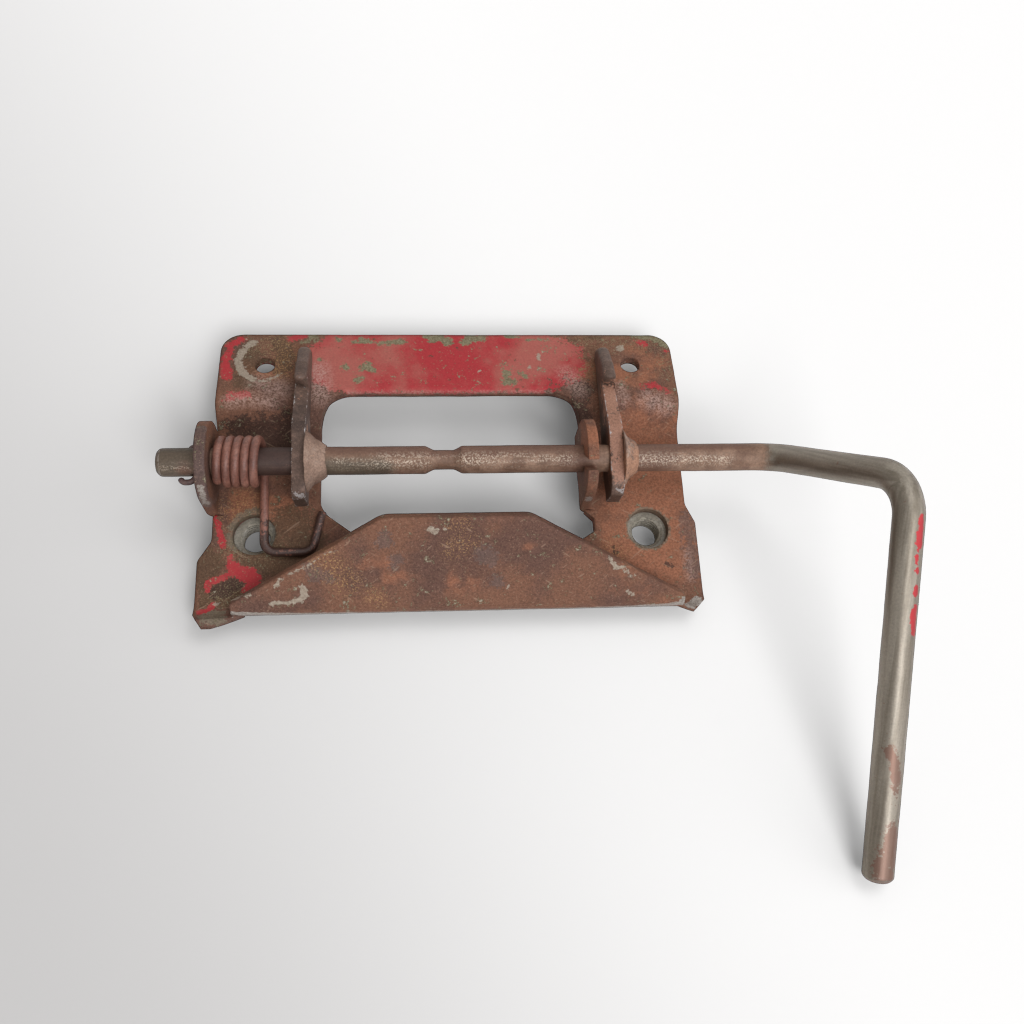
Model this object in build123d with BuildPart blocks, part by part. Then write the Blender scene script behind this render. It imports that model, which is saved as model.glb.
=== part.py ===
from build123d import *
from math import acos, atan2, cos, degrees, hypot, pi, radians, sin, sqrt, tan
import os

os.makedirs("parts", exist_ok=True)

# Stock, in millimetres
sheet = 3.0              # pressed steel of the mounting plate
rod_d = 8.0              # round bar of the crank shaft
lever_t = 4.0            # flat steel of the hook levers
wire_d = 2.0             # spring wire
pin_d = 1.8              # cotter pin wire
wire_sides = 10          # facets round a drawn wire

# Fits
run_fit = 0.06           # radial play of the shaft in the ears
slip_fit = 0.05          # radial play of the levers and welds on the shaft
pin_fit = 0.2            # radial play of a wire in its cross hole
rest_gap = 0.35          # air under pieces that rest on the plate

# Weld nuts: the frame's origin is midway between their seats
nut_h = 8.0
nut_af = 17.0
nut_chamfer = 0.8
thread_r = 4.25
nut_inset = 12.0
nut_clear_r = 6.25
plate_z = nut_h + sheet  # upper face of the flat of the plate

# Shaft line, measured from the nut line and from the upper face
axis_y = 17.8
axis_up = 12.5
axis_z = plate_z + axis_up

# Plate outline: wider in front of its shoulders than behind them
half_w = 70.5
nut_x = half_w - nut_inset
step_right = 2.7
step_left = 3.8
half_w_right = half_w + step_right
half_w_left = half_w + step_left
shoulder_right = 7.5
shoulder_left = -2.0
shoulder_run = 6.0
shoulder_r = 3.5
front_bend_y = -19.3

# Plate section: flat, sloping wall and falling back band
foot_y = 32.5
ridge_y = 39.1
ridge_up = 6.6
back_y = 65.6
wall_slope = degrees(atan2(ridge_up, ridge_y - foot_y))
band_fall = 12.0
back_corner_r = 6.5
foot_r = 6.0
ridge_r = 1.5
band_hole_r = 3.1
band_hole_inset = 13.7
band_hole_y = 53.6

# Window, with a notch in front of the right ear
win_half = 39.75
win_over_ridge = 4.1
win_front_land = 12.8
win_back = ridge_y + win_over_ridge
win_front = front_bend_y + win_front_land
win_r = 10.0
win_turn_r = 8.0
win_turn_y = 7.2
win_left_slant = 18.3
win_right_slant = 6.8
notch_out = 2.6
notch_from = 6.0
notch_to = -0.6
notch_r = 1.2

# Bearing ears
ear_r = 11.6
ear_bend_r = 2.0
ear_overhang = 1.5
ear_inset = 1.85
left_ear_x = -half_w - ear_overhang
right_ear_x = win_half - ear_inset
slit_w = 3.2
slit_lean = 32.0

# Guide flange and corner lips
flange_bend_r = 2.5
flange_lean = 42.0
flange_len = 25.6
flange_top = 20.5
flange_corner_r = 6.5
lip_wide_left = 10.9
lip_wide_right = 7.0
flange_left = half_w_left - lip_wide_left
flange_right = half_w_right - lip_wide_right
lip_bend_r = 8.0
lip_turn = 56.0
lip_left = 10.0
lip_right = 6.6
lip_corner = 3.2

# Crank, as steps from the plate's edge and the shaft line
shaft_over = 12.3
crank_out = 25.5
corner_out = 17.8
tip_in = 7.1
shaft_left = left_ear_x - shaft_over
crank_x = half_w + crank_out
corner_x = crank_x + corner_out
corner_dy = -25.0
corner_dz = 45.0
tip_x = corner_x - tip_in
tip_dy = -120.1
tip_dz = 2.4
crank_bend_r = 10.0
corner_bend_r = 11.0
end_chamfer = 1.0
neck_x = -3.0
neck_r = 2.75
neck_flat = 5.8
neck_wide = 10.6

# Hook levers, as reaches and heights from the shaft line
lever_window_gap = 2.55
lever_ear_gap = 4.4
left_lever_x = -win_half - lever_window_gap - lever_t
right_lever_x = right_ear_x + sheet + lever_ear_gap
tail_reach = 12.0
tail_drop = 7.4
tail_top = 3.6
tail_slant = 0.8
tail_bevel = 1.9
tail_bevel_foot = 0.6
hub_drop = 8.0
hub_half = 5.0
belly_run = 8.0
belly_rise = 1.3
arm_peak_y = 8.0
arm_peak = 6.6
nose_y = 24.0
nose_foot = -0.2
nose_top = 5.8
nose_rake = 0.2
nose_facet = 7.0
nose_fall = 3.0
tip_reach = 39.4
tip_top = -2.6
tip_drop = 7.9
tip_rake = 0.5
belly_r = 12.0
peak_r = 9.0
nose_r = 2.5
tip_r = 3.0
tail_r = 1.6

# Welds, each with a wide root on its lever
weld_r = 9.0
weld_lip = 0.3
weld_hollow = 0.4
left_weld_leg = 5.6
right_weld_leg = 4.6

# Return spring
coil_gap = 0.52
coil_clear = 1.3
coil_ear_gap = 0.9
coil_turns = 4.72
coil_start_r = 2.1
coil_pitch = wire_d + coil_gap
coil_r = rod_d / 2 + coil_clear + wire_d / 2
coil_start_x = left_ear_x + sheet + coil_ear_gap + wire_d / 2
coil_exit_x = coil_start_x + coil_pitch * coil_turns
foot_reach = 23.9
foot_back = 12.8
foot_lever_gap = 0.7
foot_tip_x = left_lever_x + lever_t + foot_lever_gap + wire_d / 2
foot_bend_r = 3.6

# Cotter pin
cotter_ear_gap = 0.4
cotter_x = left_ear_x - cotter_ear_gap - pin_d / 2
cotter_eye_r = 1.7
cotter_bend_r = 1.6
cotter_curl = 5.4


def below(y, up, slope_a, slope_b):
    """Point on the under face of the sheet, under a bend of the upper face."""
    half = radians(slope_b - slope_a) / 2
    mid = radians(slope_b + slope_a) / 2
    reach = sheet / cos(half)
    return (y + reach * sin(mid), plate_z + up - reach * cos(mid))


def on_axis(y, z):
    """Point of the lever profile, given from the shaft line."""
    return (axis_y + y, axis_z + z)


# Sheet with its flat, its sloping wall and its falling back band
back_up = ridge_up - (back_y - ridge_y) * tan(radians(band_fall))
upper_line = [
    (front_bend_y, plate_z),
    (foot_y, plate_z),
    (ridge_y, plate_z + ridge_up),
    (back_y, plate_z + back_up),
]
under_line = [
    below(back_y, back_up, -band_fall, -band_fall),
    below(ridge_y, ridge_up, wall_slope, -band_fall),
    below(foot_y, 0, 0, wall_slope),
    (front_bend_y, nut_h),
]
ear_bend_out = ear_bend_r + sheet
outline = [
    (-half_w, back_y + sheet),
    (half_w, back_y + sheet),
    (half_w, shoulder_right),
    (half_w_right, shoulder_right - shoulder_run),
    (half_w_right, front_bend_y),
    (-half_w_left, front_bend_y),
    (-half_w_left, shoulder_left - shoulder_run),
    (-half_w, shoulder_left),
]
window = [
    (-win_half, win_back),
    (win_half, win_back),
    (win_half, notch_from),
    (win_half + notch_out, notch_from - notch_out),
    (win_half + notch_out, notch_to),
    (win_half - win_right_slant, win_front),
    (-win_half + win_left_slant, win_front),
    (-win_half, win_turn_y),
]
through = 2 * axis_z
with BuildPart() as sheet_form:
    with BuildSketch(Plane.YZ):
        with BuildLine():
            FilletPolyline(*upper_line, radius=[foot_r, ridge_r + sheet])
            Line(upper_line[-1], under_line[0])
            FilletPolyline(*under_line, radius=[ridge_r, foot_r + sheet])
            Line(under_line[-1], upper_line[0])
        make_face()
    extrude(amount=half_w_left, both=True)
    with BuildSketch():
        with BuildLine():
            Polyline(*outline, close=True)
        make_face()
        shoulders = vertices().filter_by(lambda v: front_bend_y < v.Y < back_y)
        fillet(shoulders, radius=shoulder_r)
    extrude(amount=through, mode=Mode.INTERSECT)
    back_corners = edges().filter_by(lambda e: e.center().Y > back_y - sheet and e.length < 2 * sheet)
    fillet(back_corners.filter_by(lambda e: abs(e.center().X) > half_w - sheet), radius=back_corner_r)
    with BuildSketch():
        with BuildLine():
            Polyline(*window, close=True)
        make_face()
        fillet(vertices().group_by(Axis.Y)[-1], radius=win_r)
        fillet(vertices().group_by(Axis.Y)[0], radius=win_turn_r / 2)
        fillet(vertices().group_by(Axis.X)[-1], radius=notch_r)
        fillet(vertices().sort_by_distance((-win_half, win_turn_y))[0], radius=win_turn_r)
    extrude(amount=through, mode=Mode.SUBTRACT)
    for ear_x in (left_ear_x, right_ear_x):
        with BuildSketch():
            with Locations((ear_x + ear_bend_out / 2 - sheet / 2, axis_y)):
                Rectangle(ear_bend_out + sheet, 2 * ear_r)
        extrude(amount=through, mode=Mode.SUBTRACT)
    with BuildSketch():
        with GridLocations(2 * nut_x, 1, 2, 1):
            Circle(nut_clear_r)
    extrude(amount=through, mode=Mode.SUBTRACT)
    hole_up = ridge_up - (band_hole_y - ridge_y) * tan(radians(band_fall))
    hole_plane = Plane(
        origin=(0, band_hole_y, plate_z + hole_up),
        x_dir=(1, 0, 0),
        z_dir=(0, sin(radians(band_fall)), cos(radians(band_fall))),
    )
    with BuildSketch(hole_plane):
        with GridLocations(2 * (half_w - band_hole_inset), 1, 2, 1):
            Circle(band_hole_r)
    extrude(amount=2 * sheet, both=True, mode=Mode.SUBTRACT)


def bearing_ear(ear_x):
    """Tab bent up from the sheet, with a round head about the shaft line."""
    with BuildPart() as ear:
        with BuildSketch(Plane.XZ.offset(-axis_y - ear_r)):
            with BuildLine():
                hub = (ear_x + ear_bend_out, plate_z + ear_bend_r)
                CenterArc(hub, ear_bend_out, 180, 90)
                Line((hub[0], nut_h), (hub[0], plate_z))
                CenterArc(hub, ear_bend_r, 180, 90)
                Line((ear_x + sheet, hub[1]), (ear_x, hub[1]))
            make_face()
        extrude(amount=2 * ear_r)
        with BuildSketch(Plane.YZ.offset(ear_x)):
            with Locations((axis_y, axis_z)):
                Circle(ear_r)
            with Locations((axis_y, (axis_z + plate_z + ear_bend_r) / 2)):
                Rectangle(2 * ear_r, axis_up - ear_bend_r)
        extrude(amount=sheet)
        with BuildSketch(Plane.YZ.offset(ear_x)):
            with Locations((axis_y, axis_z)):
                Circle(rod_d / 2 + run_fit)
        extrude(amount=sheet, mode=Mode.SUBTRACT)
    return ear.part


# Slit where the open ear is closed over the shaft
lean = radians(slit_lean)
with BuildPart() as slit:
    slit_plane = Plane(
        origin=(right_ear_x, axis_y, axis_z),
        x_dir=(0, -sin(lean), cos(lean)),
        z_dir=(1, 0, 0),
    )
    with BuildSketch(slit_plane):
        with Locations((ear_r, 0)):
            Rectangle(2 * ear_r, slit_w)
    extrude(amount=sheet)


def front_bend(bend_r, turn):
    """Section of a bend that turns the front edge of the sheet up, and where its outer side ends."""
    hub = Vector(front_bend_y, plate_z + bend_r)
    out_r = bend_r + sheet
    end = radians(270 - turn)
    heading = Vector(cos(end), sin(end))
    with BuildSketch(Plane.YZ) as section:
        with BuildLine():
            CenterArc(hub, out_r, 270, -turn)
            CenterArc(hub, bend_r, 270, -turn)
            Line((front_bend_y, nut_h), (front_bend_y, plate_z))
            Line(hub + heading * bend_r, hub + heading * out_r)
        make_face()
    return section.sketch, hub + heading * out_r


# Guide flange: the front of the sheet turned up and back over the window
rise = radians(flange_lean)
flange_section, flange_root = front_bend(flange_bend_r, 180 - flange_lean)
flange_plane = Plane(
    origin=(0, flange_root.X, flange_root.Y),
    x_dir=(1, 0, 0),
    z_dir=(0, -sin(rise), cos(rise)),
)
with BuildPart() as guide_flange:
    extrude(flange_section, amount=flange_right, dir=(1, 0, 0))
    extrude(flange_section, amount=flange_left, dir=(-1, 0, 0))
    with BuildSketch(flange_plane):
        with BuildLine():
            Polyline(
                (-flange_left, 0),
                (flange_right, 0),
                (flange_top, flange_len),
                (-flange_top, flange_len),
                close=True,
            )
        make_face()
        fillet(vertices().group_by(Axis.Y)[-1], radius=flange_corner_r)
    extrude(amount=-sheet)

# Lips: the front corners of the sheet, drawn up beside the flange
lip_section, lip_end = front_bend(lip_bend_r, lip_turn)
with BuildPart() as corner_lips:
    extrude(lip_section, amount=half_w_right, dir=(1, 0, 0))
    extrude(lip_section, amount=half_w_left, dir=(-1, 0, 0))
    with BuildSketch():
        for side, root, edge, reach in (
            (1, flange_right, half_w_right, lip_right),
            (-1, -flange_left, -half_w_left, lip_left),
        ):
            with BuildLine():
                Polyline(
                    (root - side * sheet, front_bend_y + sheet / 6),
                    (edge, front_bend_y + sheet / 6),
                    (edge, front_bend_y - reach / 2),
                    (edge - side * lip_corner, front_bend_y - reach),
                    (root - side * sheet, front_bend_y - reach / 2),
                    close=True,
                )
            make_face()
    extrude(amount=through, mode=Mode.INTERSECT)

with BuildPart() as mounting_plate:
    add(sheet_form.part)
    add(bearing_ear(left_ear_x))
    add(bearing_ear(right_ear_x) - slit.part)
    add(guide_flange.part)
    add(corner_lips.part)

# Where the spring leaves its coil so that its foot lies just above the plate
foot_drop = axis_up - rest_gap - wire_d / 2
exit_lean = acos(coil_r / hypot(foot_drop, foot_reach)) - atan2(foot_reach, foot_drop)
coil_exit_deg = degrees(exit_lean) - 90

# Crank shaft: one bent bar, necked in the middle, drilled for pin and spring
coil_start_deg = coil_exit_deg + 360 * coil_turns
start_dir = radians(coil_start_deg)
with BuildPart() as crank_shaft:
    with BuildLine() as bar_line:
        FilletPolyline(
            (shaft_left, axis_y, axis_z),
            (crank_x, axis_y, axis_z),
            (corner_x, axis_y + corner_dy, axis_z + corner_dz),
            (tip_x, axis_y + tip_dy, axis_z + tip_dz),
            radius=[crank_bend_r, corner_bend_r],
        )
    with BuildSketch(Plane(origin=bar_line.line @ 0, z_dir=bar_line.line % 0)):
        Circle(rod_d / 2)
    sweep(path=bar_line.line)
    chamfer(faces().sort_by(Axis.X)[0].edges(), length=end_chamfer)
    chamfer(faces().filter_by(GeomType.PLANE).sort_by(Axis.Y)[0].edges(), length=end_chamfer)
    with BuildSketch(Plane(origin=(neck_x, axis_y, axis_z), x_dir=(1, 0, 0), z_dir=(0, -1, 0))):
        with BuildLine():
            Polyline(
                (-neck_flat / 2, neck_r),
                (neck_flat / 2, neck_r),
                (neck_wide / 2, rod_d / 2),
                (-neck_wide / 2, rod_d / 2),
                close=True,
            )
        make_face()
    revolve(axis=Axis((0, axis_y, axis_z), (1, 0, 0)), mode=Mode.SUBTRACT)
    with BuildSketch(Plane(origin=(cotter_x, axis_y - rod_d, axis_z), z_dir=(0, 1, 0))):
        Circle(pin_d / 2 + pin_fit)
    extrude(amount=2 * rod_d, mode=Mode.SUBTRACT)
    with BuildSketch(
        Plane(
            origin=(coil_start_x, axis_y - cos(start_dir) * wire_d, axis_z - sin(start_dir) * wire_d),
            z_dir=(0, cos(start_dir), sin(start_dir)),
        )
    ):
        Circle(wire_d / 2 + pin_fit)
    extrude(amount=rod_d, mode=Mode.SUBTRACT)


def hook_lever(face_x):
    """Flat lever: tail in front of the shaft, arm behind it, barbed nose at the end."""
    with BuildPart() as lever:
        with BuildSketch(Plane.YZ.offset(face_x)):
            with BuildLine():
                Polyline(
                    on_axis(tail_slant - tail_reach, -tail_drop),
                    on_axis(-tail_reach, tail_bevel_foot),
                    on_axis(tail_bevel - tail_reach, tail_top),
                    on_axis(arm_peak_y, arm_peak),
                    on_axis(nose_y, nose_foot),
                    on_axis(nose_y - nose_rake, nose_top),
                    on_axis(nose_y + nose_facet, nose_top - nose_fall),
                    on_axis(tip_reach - tip_rake, tip_top),
                    on_axis(tip_reach, -tip_drop),
                    on_axis(ridge_y - axis_y, ridge_up - axis_up + rest_gap / 2),
                    on_axis(hub_half + belly_run, belly_rise - hub_drop),
                    on_axis(hub_half, -hub_drop),
                    on_axis(-hub_half, -hub_drop),
                    close=True,
                )
            make_face()
            over_ridge = vertices().sort_by_distance((ridge_y, plate_z + ridge_up))[0]
            fillet(over_ridge, radius=belly_r)
            peak = vertices().sort_by_distance(on_axis(arm_peak_y, arm_peak))[0]
            fillet(peak, radius=peak_r)
            nose = vertices().sort_by_distance(on_axis(nose_y + nose_facet, nose_top - nose_fall))[0]
            fillet(nose, radius=nose_r)
            tip = vertices().sort_by_distance(on_axis(tip_reach - tip_rake, tip_top))[0]
            fillet(tip, radius=tip_r)
            tail = vertices().sort_by_distance(on_axis(tail_bevel - tail_reach, tail_top))[0]
            fillet(tail, radius=tail_r)
            with Locations((axis_y, axis_z)):
                Circle(rod_d / 2 + slip_fit, mode=Mode.SUBTRACT)
        extrude(amount=lever_t)
    return lever.part


def hook_weld(face_x, leg):
    """Conical fillet weld between the lever's face and the shaft."""
    with BuildPart() as weld:
        with BuildSketch(Plane(origin=(face_x, axis_y, axis_z), x_dir=(1, 0, 0), z_dir=(0, -1, 0))):
            with BuildLine():
                inside = rod_d / 2 + slip_fit
                Polyline(
                    (0, inside),
                    (0, weld_r),
                    (leg * weld_hollow, (weld_r + inside) / 2),
                    (leg, inside + weld_lip),
                    (leg, inside),
                    close=True,
                )
            make_face()
        revolve(axis=Axis((0, axis_y, axis_z), (1, 0, 0)))
    return weld.part


def weld_nut(seat_x):
    """Hexagon nut welded under the plate, with a plain thread bore."""
    with BuildPart() as nut:
        with BuildSketch(Plane.XY):
            with Locations((seat_x, 0)):
                RegularPolygon(radius=nut_af / 2, side_count=6, major_radius=False)
                Circle(thread_r, mode=Mode.SUBTRACT)
        extrude(amount=nut_h)
        chamfer(edges().filter_by(GeomType.CIRCLE).group_by(Axis.Z)[-1], length=nut_chamfer)
    return nut.part


# Return spring: straight end in the shaft, close turns, U-shaped foot on the plate
def coil_point(deg, radius=coil_r):
    """Point on the coil at a turn angle about the shaft line."""
    along = coil_exit_x - coil_pitch * (deg - coil_exit_deg) / 360
    return Vector(along, axis_y + radius * cos(radians(deg)), axis_z + radius * sin(radians(deg)))


def coil_tangent(deg):
    """Direction of travel of the wire at a turn angle; square to the shaft at the exit."""
    lead = coil_pitch / (2 * pi * coil_r) if deg > coil_exit_deg else 0
    return Vector(lead, sin(radians(deg)), -cos(radians(deg))).normalized()


def biarc(p, tp, q, tq):
    """Two tangent arcs from p to q with given end directions."""
    span = q - p
    turn_dot = 2 * (1 - tp.dot(tq))
    along = span.dot(tp + tq)
    reach = (sqrt(along * along + turn_dot * span.dot(span)) - along) / turn_dot
    joint = (p + q + (tp - tq) * reach) * 0.5
    middle = ((q - tq * reach) - (p + tp * reach)).normalized()
    TangentArc(p, joint, tangent=tp)
    TangentArc(joint, q, tangent=middle)


radial = Vector(0, cos(start_dir), sin(start_dir))
around = Vector(0, sin(start_dir), -cos(start_dir))
shaft_point = Vector(coil_start_x, axis_y, axis_z)
bend_from = shaft_point + radial * (coil_r - coil_start_r)
bend_to = shaft_point + radial * coil_r + around * coil_start_r
first_deg = coil_start_deg - 90
quarter_count = int((first_deg - coil_exit_deg) // 90)
stops = [first_deg - 90 * n for n in range(quarter_count + 1)] + [coil_exit_deg]
exit_point = coil_point(coil_exit_deg)
exit_dir = coil_tangent(coil_exit_deg)
foot_front_y = axis_y - foot_reach
leg_run = (foot_front_y - exit_point.Y) / exit_dir.Y
leg_end = exit_point + exit_dir * leg_run
with BuildPart() as return_spring:
    with BuildLine() as spring_line:
        Line(shaft_point - radial * wire_d / 2, bend_from)
        TangentArc(bend_from, bend_to, tangent=radial)
        biarc(bend_to, around, coil_point(first_deg), coil_tangent(first_deg))
        for here, there in zip(stops, stops[1:]):
            biarc(coil_point(here), coil_tangent(here), coil_point(there), coil_tangent(there))
        FilletPolyline(
            exit_point,
            leg_end,
            (foot_tip_x, foot_front_y, leg_end.Z),
            (foot_tip_x, foot_front_y + foot_back, leg_end.Z),
            radius=foot_bend_r,
        )
    with BuildSketch(Plane(origin=spring_line.wire() @ 0, z_dir=radial)):
        RegularPolygon(radius=wire_d / 2, side_count=wire_sides)
    sweep(path=spring_line.wire())

spring_wire = spring_line.wire()
wire_length = spring_wire.length
step = wire_d / 4
samples = [
    spring_wire.position_at(n * step, position_mode=PositionMode.LENGTH)
    for n in range(int(wire_length / step) + 1)
]
apart = int(3 * wire_d / step)
least = min(
    (a - b).length
    for i, a in enumerate(samples)
    for b in samples[i + apart:]
)
print(f"spring: wire {wire_length:.1f} mm, least gap to itself {least - wire_d:.2f} mm")

# Cotter pin: eye behind the shaft, shank through it, front leg curled along it
back = axis_y + rod_d / 2
front = axis_y - rod_d / 2
eye_y = back + cotter_ear_gap + cotter_eye_r
with BuildPart() as cotter_pin:
    with BuildLine() as eye_line:
        RadiusArc(
            (cotter_x, eye_y + cotter_eye_r, axis_z),
            (cotter_x, eye_y - cotter_eye_r, axis_z),
            -cotter_eye_r,
        )
    with BuildSketch(Plane(origin=eye_line.line @ 0, z_dir=eye_line.line % 0)):
        RegularPolygon(radius=pin_d / 2, side_count=wire_sides)
    sweep(path=eye_line.line)
    with BuildLine() as leg_line:
        FilletPolyline(
            (cotter_x, eye_y - cotter_eye_r, axis_z),
            (cotter_x, front - cotter_bend_r - pin_d / 2, axis_z),
            (cotter_x - cotter_curl, front - cotter_bend_r - pin_d / 2, axis_z),
            radius=cotter_bend_r,
        )
    with BuildSketch(Plane(origin=leg_line.line @ 0, z_dir=leg_line.line % 0)):
        RegularPolygon(radius=pin_d / 2, side_count=wire_sides)
    sweep(path=leg_line.line)

# Named parts
pieces = {
    "mounting_plate": mounting_plate.part,
    "crank_shaft": crank_shaft.part,
    "left_hook_lever": hook_lever(left_lever_x),
    "right_hook_lever": hook_lever(right_lever_x),
    "left_hook_weld": hook_weld(left_lever_x + lever_t, left_weld_leg),
    "right_hook_weld": hook_weld(right_lever_x + lever_t, right_weld_leg),
    "left_weld_nut": weld_nut(-nut_x),
    "right_weld_nut": weld_nut(nut_x),
    "return_spring": return_spring.part,
    "cotter_pin": cotter_pin.part,
}
for name, piece in pieces.items():
    piece.label = name
    export_step(piece, f"parts/{name}.step")
    print(f"{name}: {len(piece.solids())} solid, {piece.volume:.0f} mm3")
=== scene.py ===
import math

import bmesh
import bpy
import numpy as np
from mathutils import Matrix, Vector, kdtree, noise


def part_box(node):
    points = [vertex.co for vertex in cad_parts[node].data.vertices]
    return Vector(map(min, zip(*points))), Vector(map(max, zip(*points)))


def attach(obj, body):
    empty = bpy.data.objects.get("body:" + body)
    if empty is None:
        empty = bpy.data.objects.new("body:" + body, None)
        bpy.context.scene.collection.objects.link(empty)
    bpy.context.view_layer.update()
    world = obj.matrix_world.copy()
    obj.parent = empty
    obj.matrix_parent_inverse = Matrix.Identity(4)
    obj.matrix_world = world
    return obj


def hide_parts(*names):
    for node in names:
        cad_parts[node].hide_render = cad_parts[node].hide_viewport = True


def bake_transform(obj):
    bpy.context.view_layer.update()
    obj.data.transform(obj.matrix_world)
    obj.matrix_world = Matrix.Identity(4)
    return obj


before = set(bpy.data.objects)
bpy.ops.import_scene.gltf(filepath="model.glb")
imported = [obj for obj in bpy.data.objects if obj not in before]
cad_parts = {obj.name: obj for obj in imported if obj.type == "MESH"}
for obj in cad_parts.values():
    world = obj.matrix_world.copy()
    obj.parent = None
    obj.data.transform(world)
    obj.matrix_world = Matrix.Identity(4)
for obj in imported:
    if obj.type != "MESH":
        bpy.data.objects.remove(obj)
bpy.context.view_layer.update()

# Sizes and places are in millimetres, in the frame of the CAD part, and turns in degrees
MM = 0.001
AXIS_Y = 17.8
AXIS_Z = 23.5
PLATE_TOP = 11.0
NUT_X = 58.5
RIM_REACH = 3.0
RIM_WEAR = 0.4
NODE_JOIN = 0.002
SPIN_JOIN = 0.001
SLIVER = 0.004
FLAT_TURN = 0.4
X_AXIS = Vector((1, 0, 0))
Y_AXIS = Vector((0, 1, 0))
Z_AXIS = Vector((0, 0, 1))


def mm(x, y, z):
    """Point given in millimetres, in metres."""
    return Vector((x, y, z)) * MM


# Mesh tools

def new_piece(bm, name, material, body):
    """Object made from a finished bmesh, riding on a CAD body."""
    mark_edges(bm)
    mesh = bpy.data.meshes.new(name)
    bm.to_mesh(mesh)
    bm.free()
    for face in mesh.polygons:
        face.use_smooth = True
    piece = bpy.data.objects.new(name, mesh)
    bpy.context.scene.collection.objects.link(piece)
    piece.data.materials.append(material)
    if body:
        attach(piece, body)
    return piece


def merged_copy(node):
    """Copy of a CAD node with its loose triangles joined into whole faces."""
    bm = bmesh.new()
    bm.from_mesh(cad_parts[node].data)
    bmesh.ops.remove_doubles(bm, verts=bm.verts, dist=NODE_JOIN * MM)
    bmesh.ops.dissolve_limit(
        bm, angle_limit=math.radians(FLAT_TURN), verts=bm.verts, edges=bm.edges, delimit=set()
    )
    bm.faces.layers.int.new("rounded")
    return bm


def round_edges(bm, radius, sharp=32, segments=2, within=None, marked=1, clamp=True):
    """Rounds the edges that turn by more than an angle, and marks their new faces."""
    chosen = [
        e for e in bm.edges
        if e.is_manifold and e.calc_face_angle() > math.radians(sharp)
        and (within is None or all(within(v.co / MM) for v in e.verts))
    ]
    made = bmesh.ops.bevel(
        bm, geom=chosen, offset=radius * MM, offset_type="OFFSET", segments=segments,
        profile=0.5, affect="EDGES", clamp_overlap=clamp, material=-1,
    )
    rounded = bm.faces.layers.int.get("rounded")
    for face in made["faces"]:
        face[rounded] = marked


def refine(bm, step):
    """Takes out slivers and cuts the mesh on three sets of planes, a step apart at most."""
    bmesh.ops.dissolve_degenerate(bm, dist=SLIVER * MM, edges=bm.edges)
    for way in (X_AXIS, Y_AXIS, Z_AXIS):
        along = [v.co.dot(way) for v in bm.verts]
        low, high = min(along), max(along)
        count = int((high - low) / (step * MM))
        for n in range(1, count + 1):
            place = low + (high - low) * n / (count + 1)
            bmesh.ops.bisect_plane(
                bm, geom=bm.verts[:] + bm.edges[:] + bm.faces[:], dist=SLIVER * MM,
                plane_co=way * place, plane_no=way,
            )
    bmesh.ops.triangulate(bm, faces=bm.faces)


def mark_edges(bm):
    """Writes each point's wear, the share of rounded faces about it, and how near the rim is."""
    bm.verts.layers.float.new("wear")
    bm.verts.layers.float.new("rim")
    wear = bm.verts.layers.float.get("wear")
    rim = bm.verts.layers.float.get("rim")
    rounded = bm.faces.layers.int.get("rounded")
    if not rounded:
        return
    edge_points = []
    for vert in bm.verts:
        vert[wear] = sum(f[rounded] for f in vert.link_faces) / max(1, len(vert.link_faces))
        if vert[wear] > RIM_WEAR:
            edge_points.append(vert.co.copy())
    tree = kdtree.KDTree(len(edge_points))
    for index, point in enumerate(edge_points):
        tree.insert(point, index)
    tree.balance()
    for vert in bm.verts:
        found = tree.find(vert.co)[2]
        vert[rim] = max(0.0, 1 - found / (RIM_REACH * MM)) if found is not None else 0.0


def weather(bm, depth, size, seed, keep=None):
    """Moves the surface in and out by a smooth noise of a given size, in millimetres."""
    bm.normal_update()
    shift = Vector((seed, -seed, 0.5 * seed))
    verts = [v for v in bm.verts if keep is None or not keep(v.co / MM)]
    moves = [v.normal * (depth * MM * noise.noise(v.co / (size * MM) + shift)) for v in verts]
    for vert, move in zip(verts, moves):
        vert.co += move


def keep_inside(bm, node):
    """Holds a weathered surface inside the box of the node that it stands for."""
    low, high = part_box(node)
    for vert in bm.verts:
        vert.co = Vector(min(max(c, a), b) for c, a, b in zip(vert.co, low, high))


def wear_down(bm, rounds, within=None):
    """Softens the corners of a mesh, or of the chosen part of it."""
    verts = [v for v in bm.verts if within is None or within(v.co / MM)]
    for _ in range(rounds):
        bmesh.ops.smooth_vert(
            bm, verts=verts, factor=0.5, use_axis_x=True, use_axis_y=True, use_axis_z=True
        )


def wire_ring(bm, centre, heading, radius, sides=14):
    """Open ring of edges square to a heading, the start of a wire."""
    turn = Vector(heading).to_track_quat("Z", "Y").to_matrix().to_4x4()
    made = bmesh.ops.create_circle(
        bm, cap_ends=False, radius=radius * MM, segments=sides,
        matrix=Matrix.Translation(centre) @ turn,
    )
    return list({e for v in made["verts"] for e in v.link_edges})


def ring_ends(geom):
    return [g for g in geom if isinstance(g, bmesh.types.BMEdge)]


def straight(bm, ring, move, steps=1):
    """Carries a ring straight on, in equal steps."""
    for _ in range(steps):
        made = bmesh.ops.extrude_edge_only(bm, edges=ring)["geom"]
        verts = [g for g in made if isinstance(g, bmesh.types.BMVert)]
        bmesh.ops.translate(bm, verts=verts, vec=Vector(move) / steps)
        ring = ring_ends(made)
    return ring


def turned(bm, ring, centre, axis, angle, steps, lead=(0, 0, 0)):
    """Carries a ring round an axis, with a shift along it for a coil."""
    verts = list({v for e in ring for v in e.verts})
    made = bmesh.ops.spin(
        bm, geom=verts + ring, cent=centre, axis=axis, dvec=Vector(lead) / steps,
        angle=math.radians(angle), steps=steps, use_merge=False,
    )
    return ring_ends(made["geom_last"])


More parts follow.
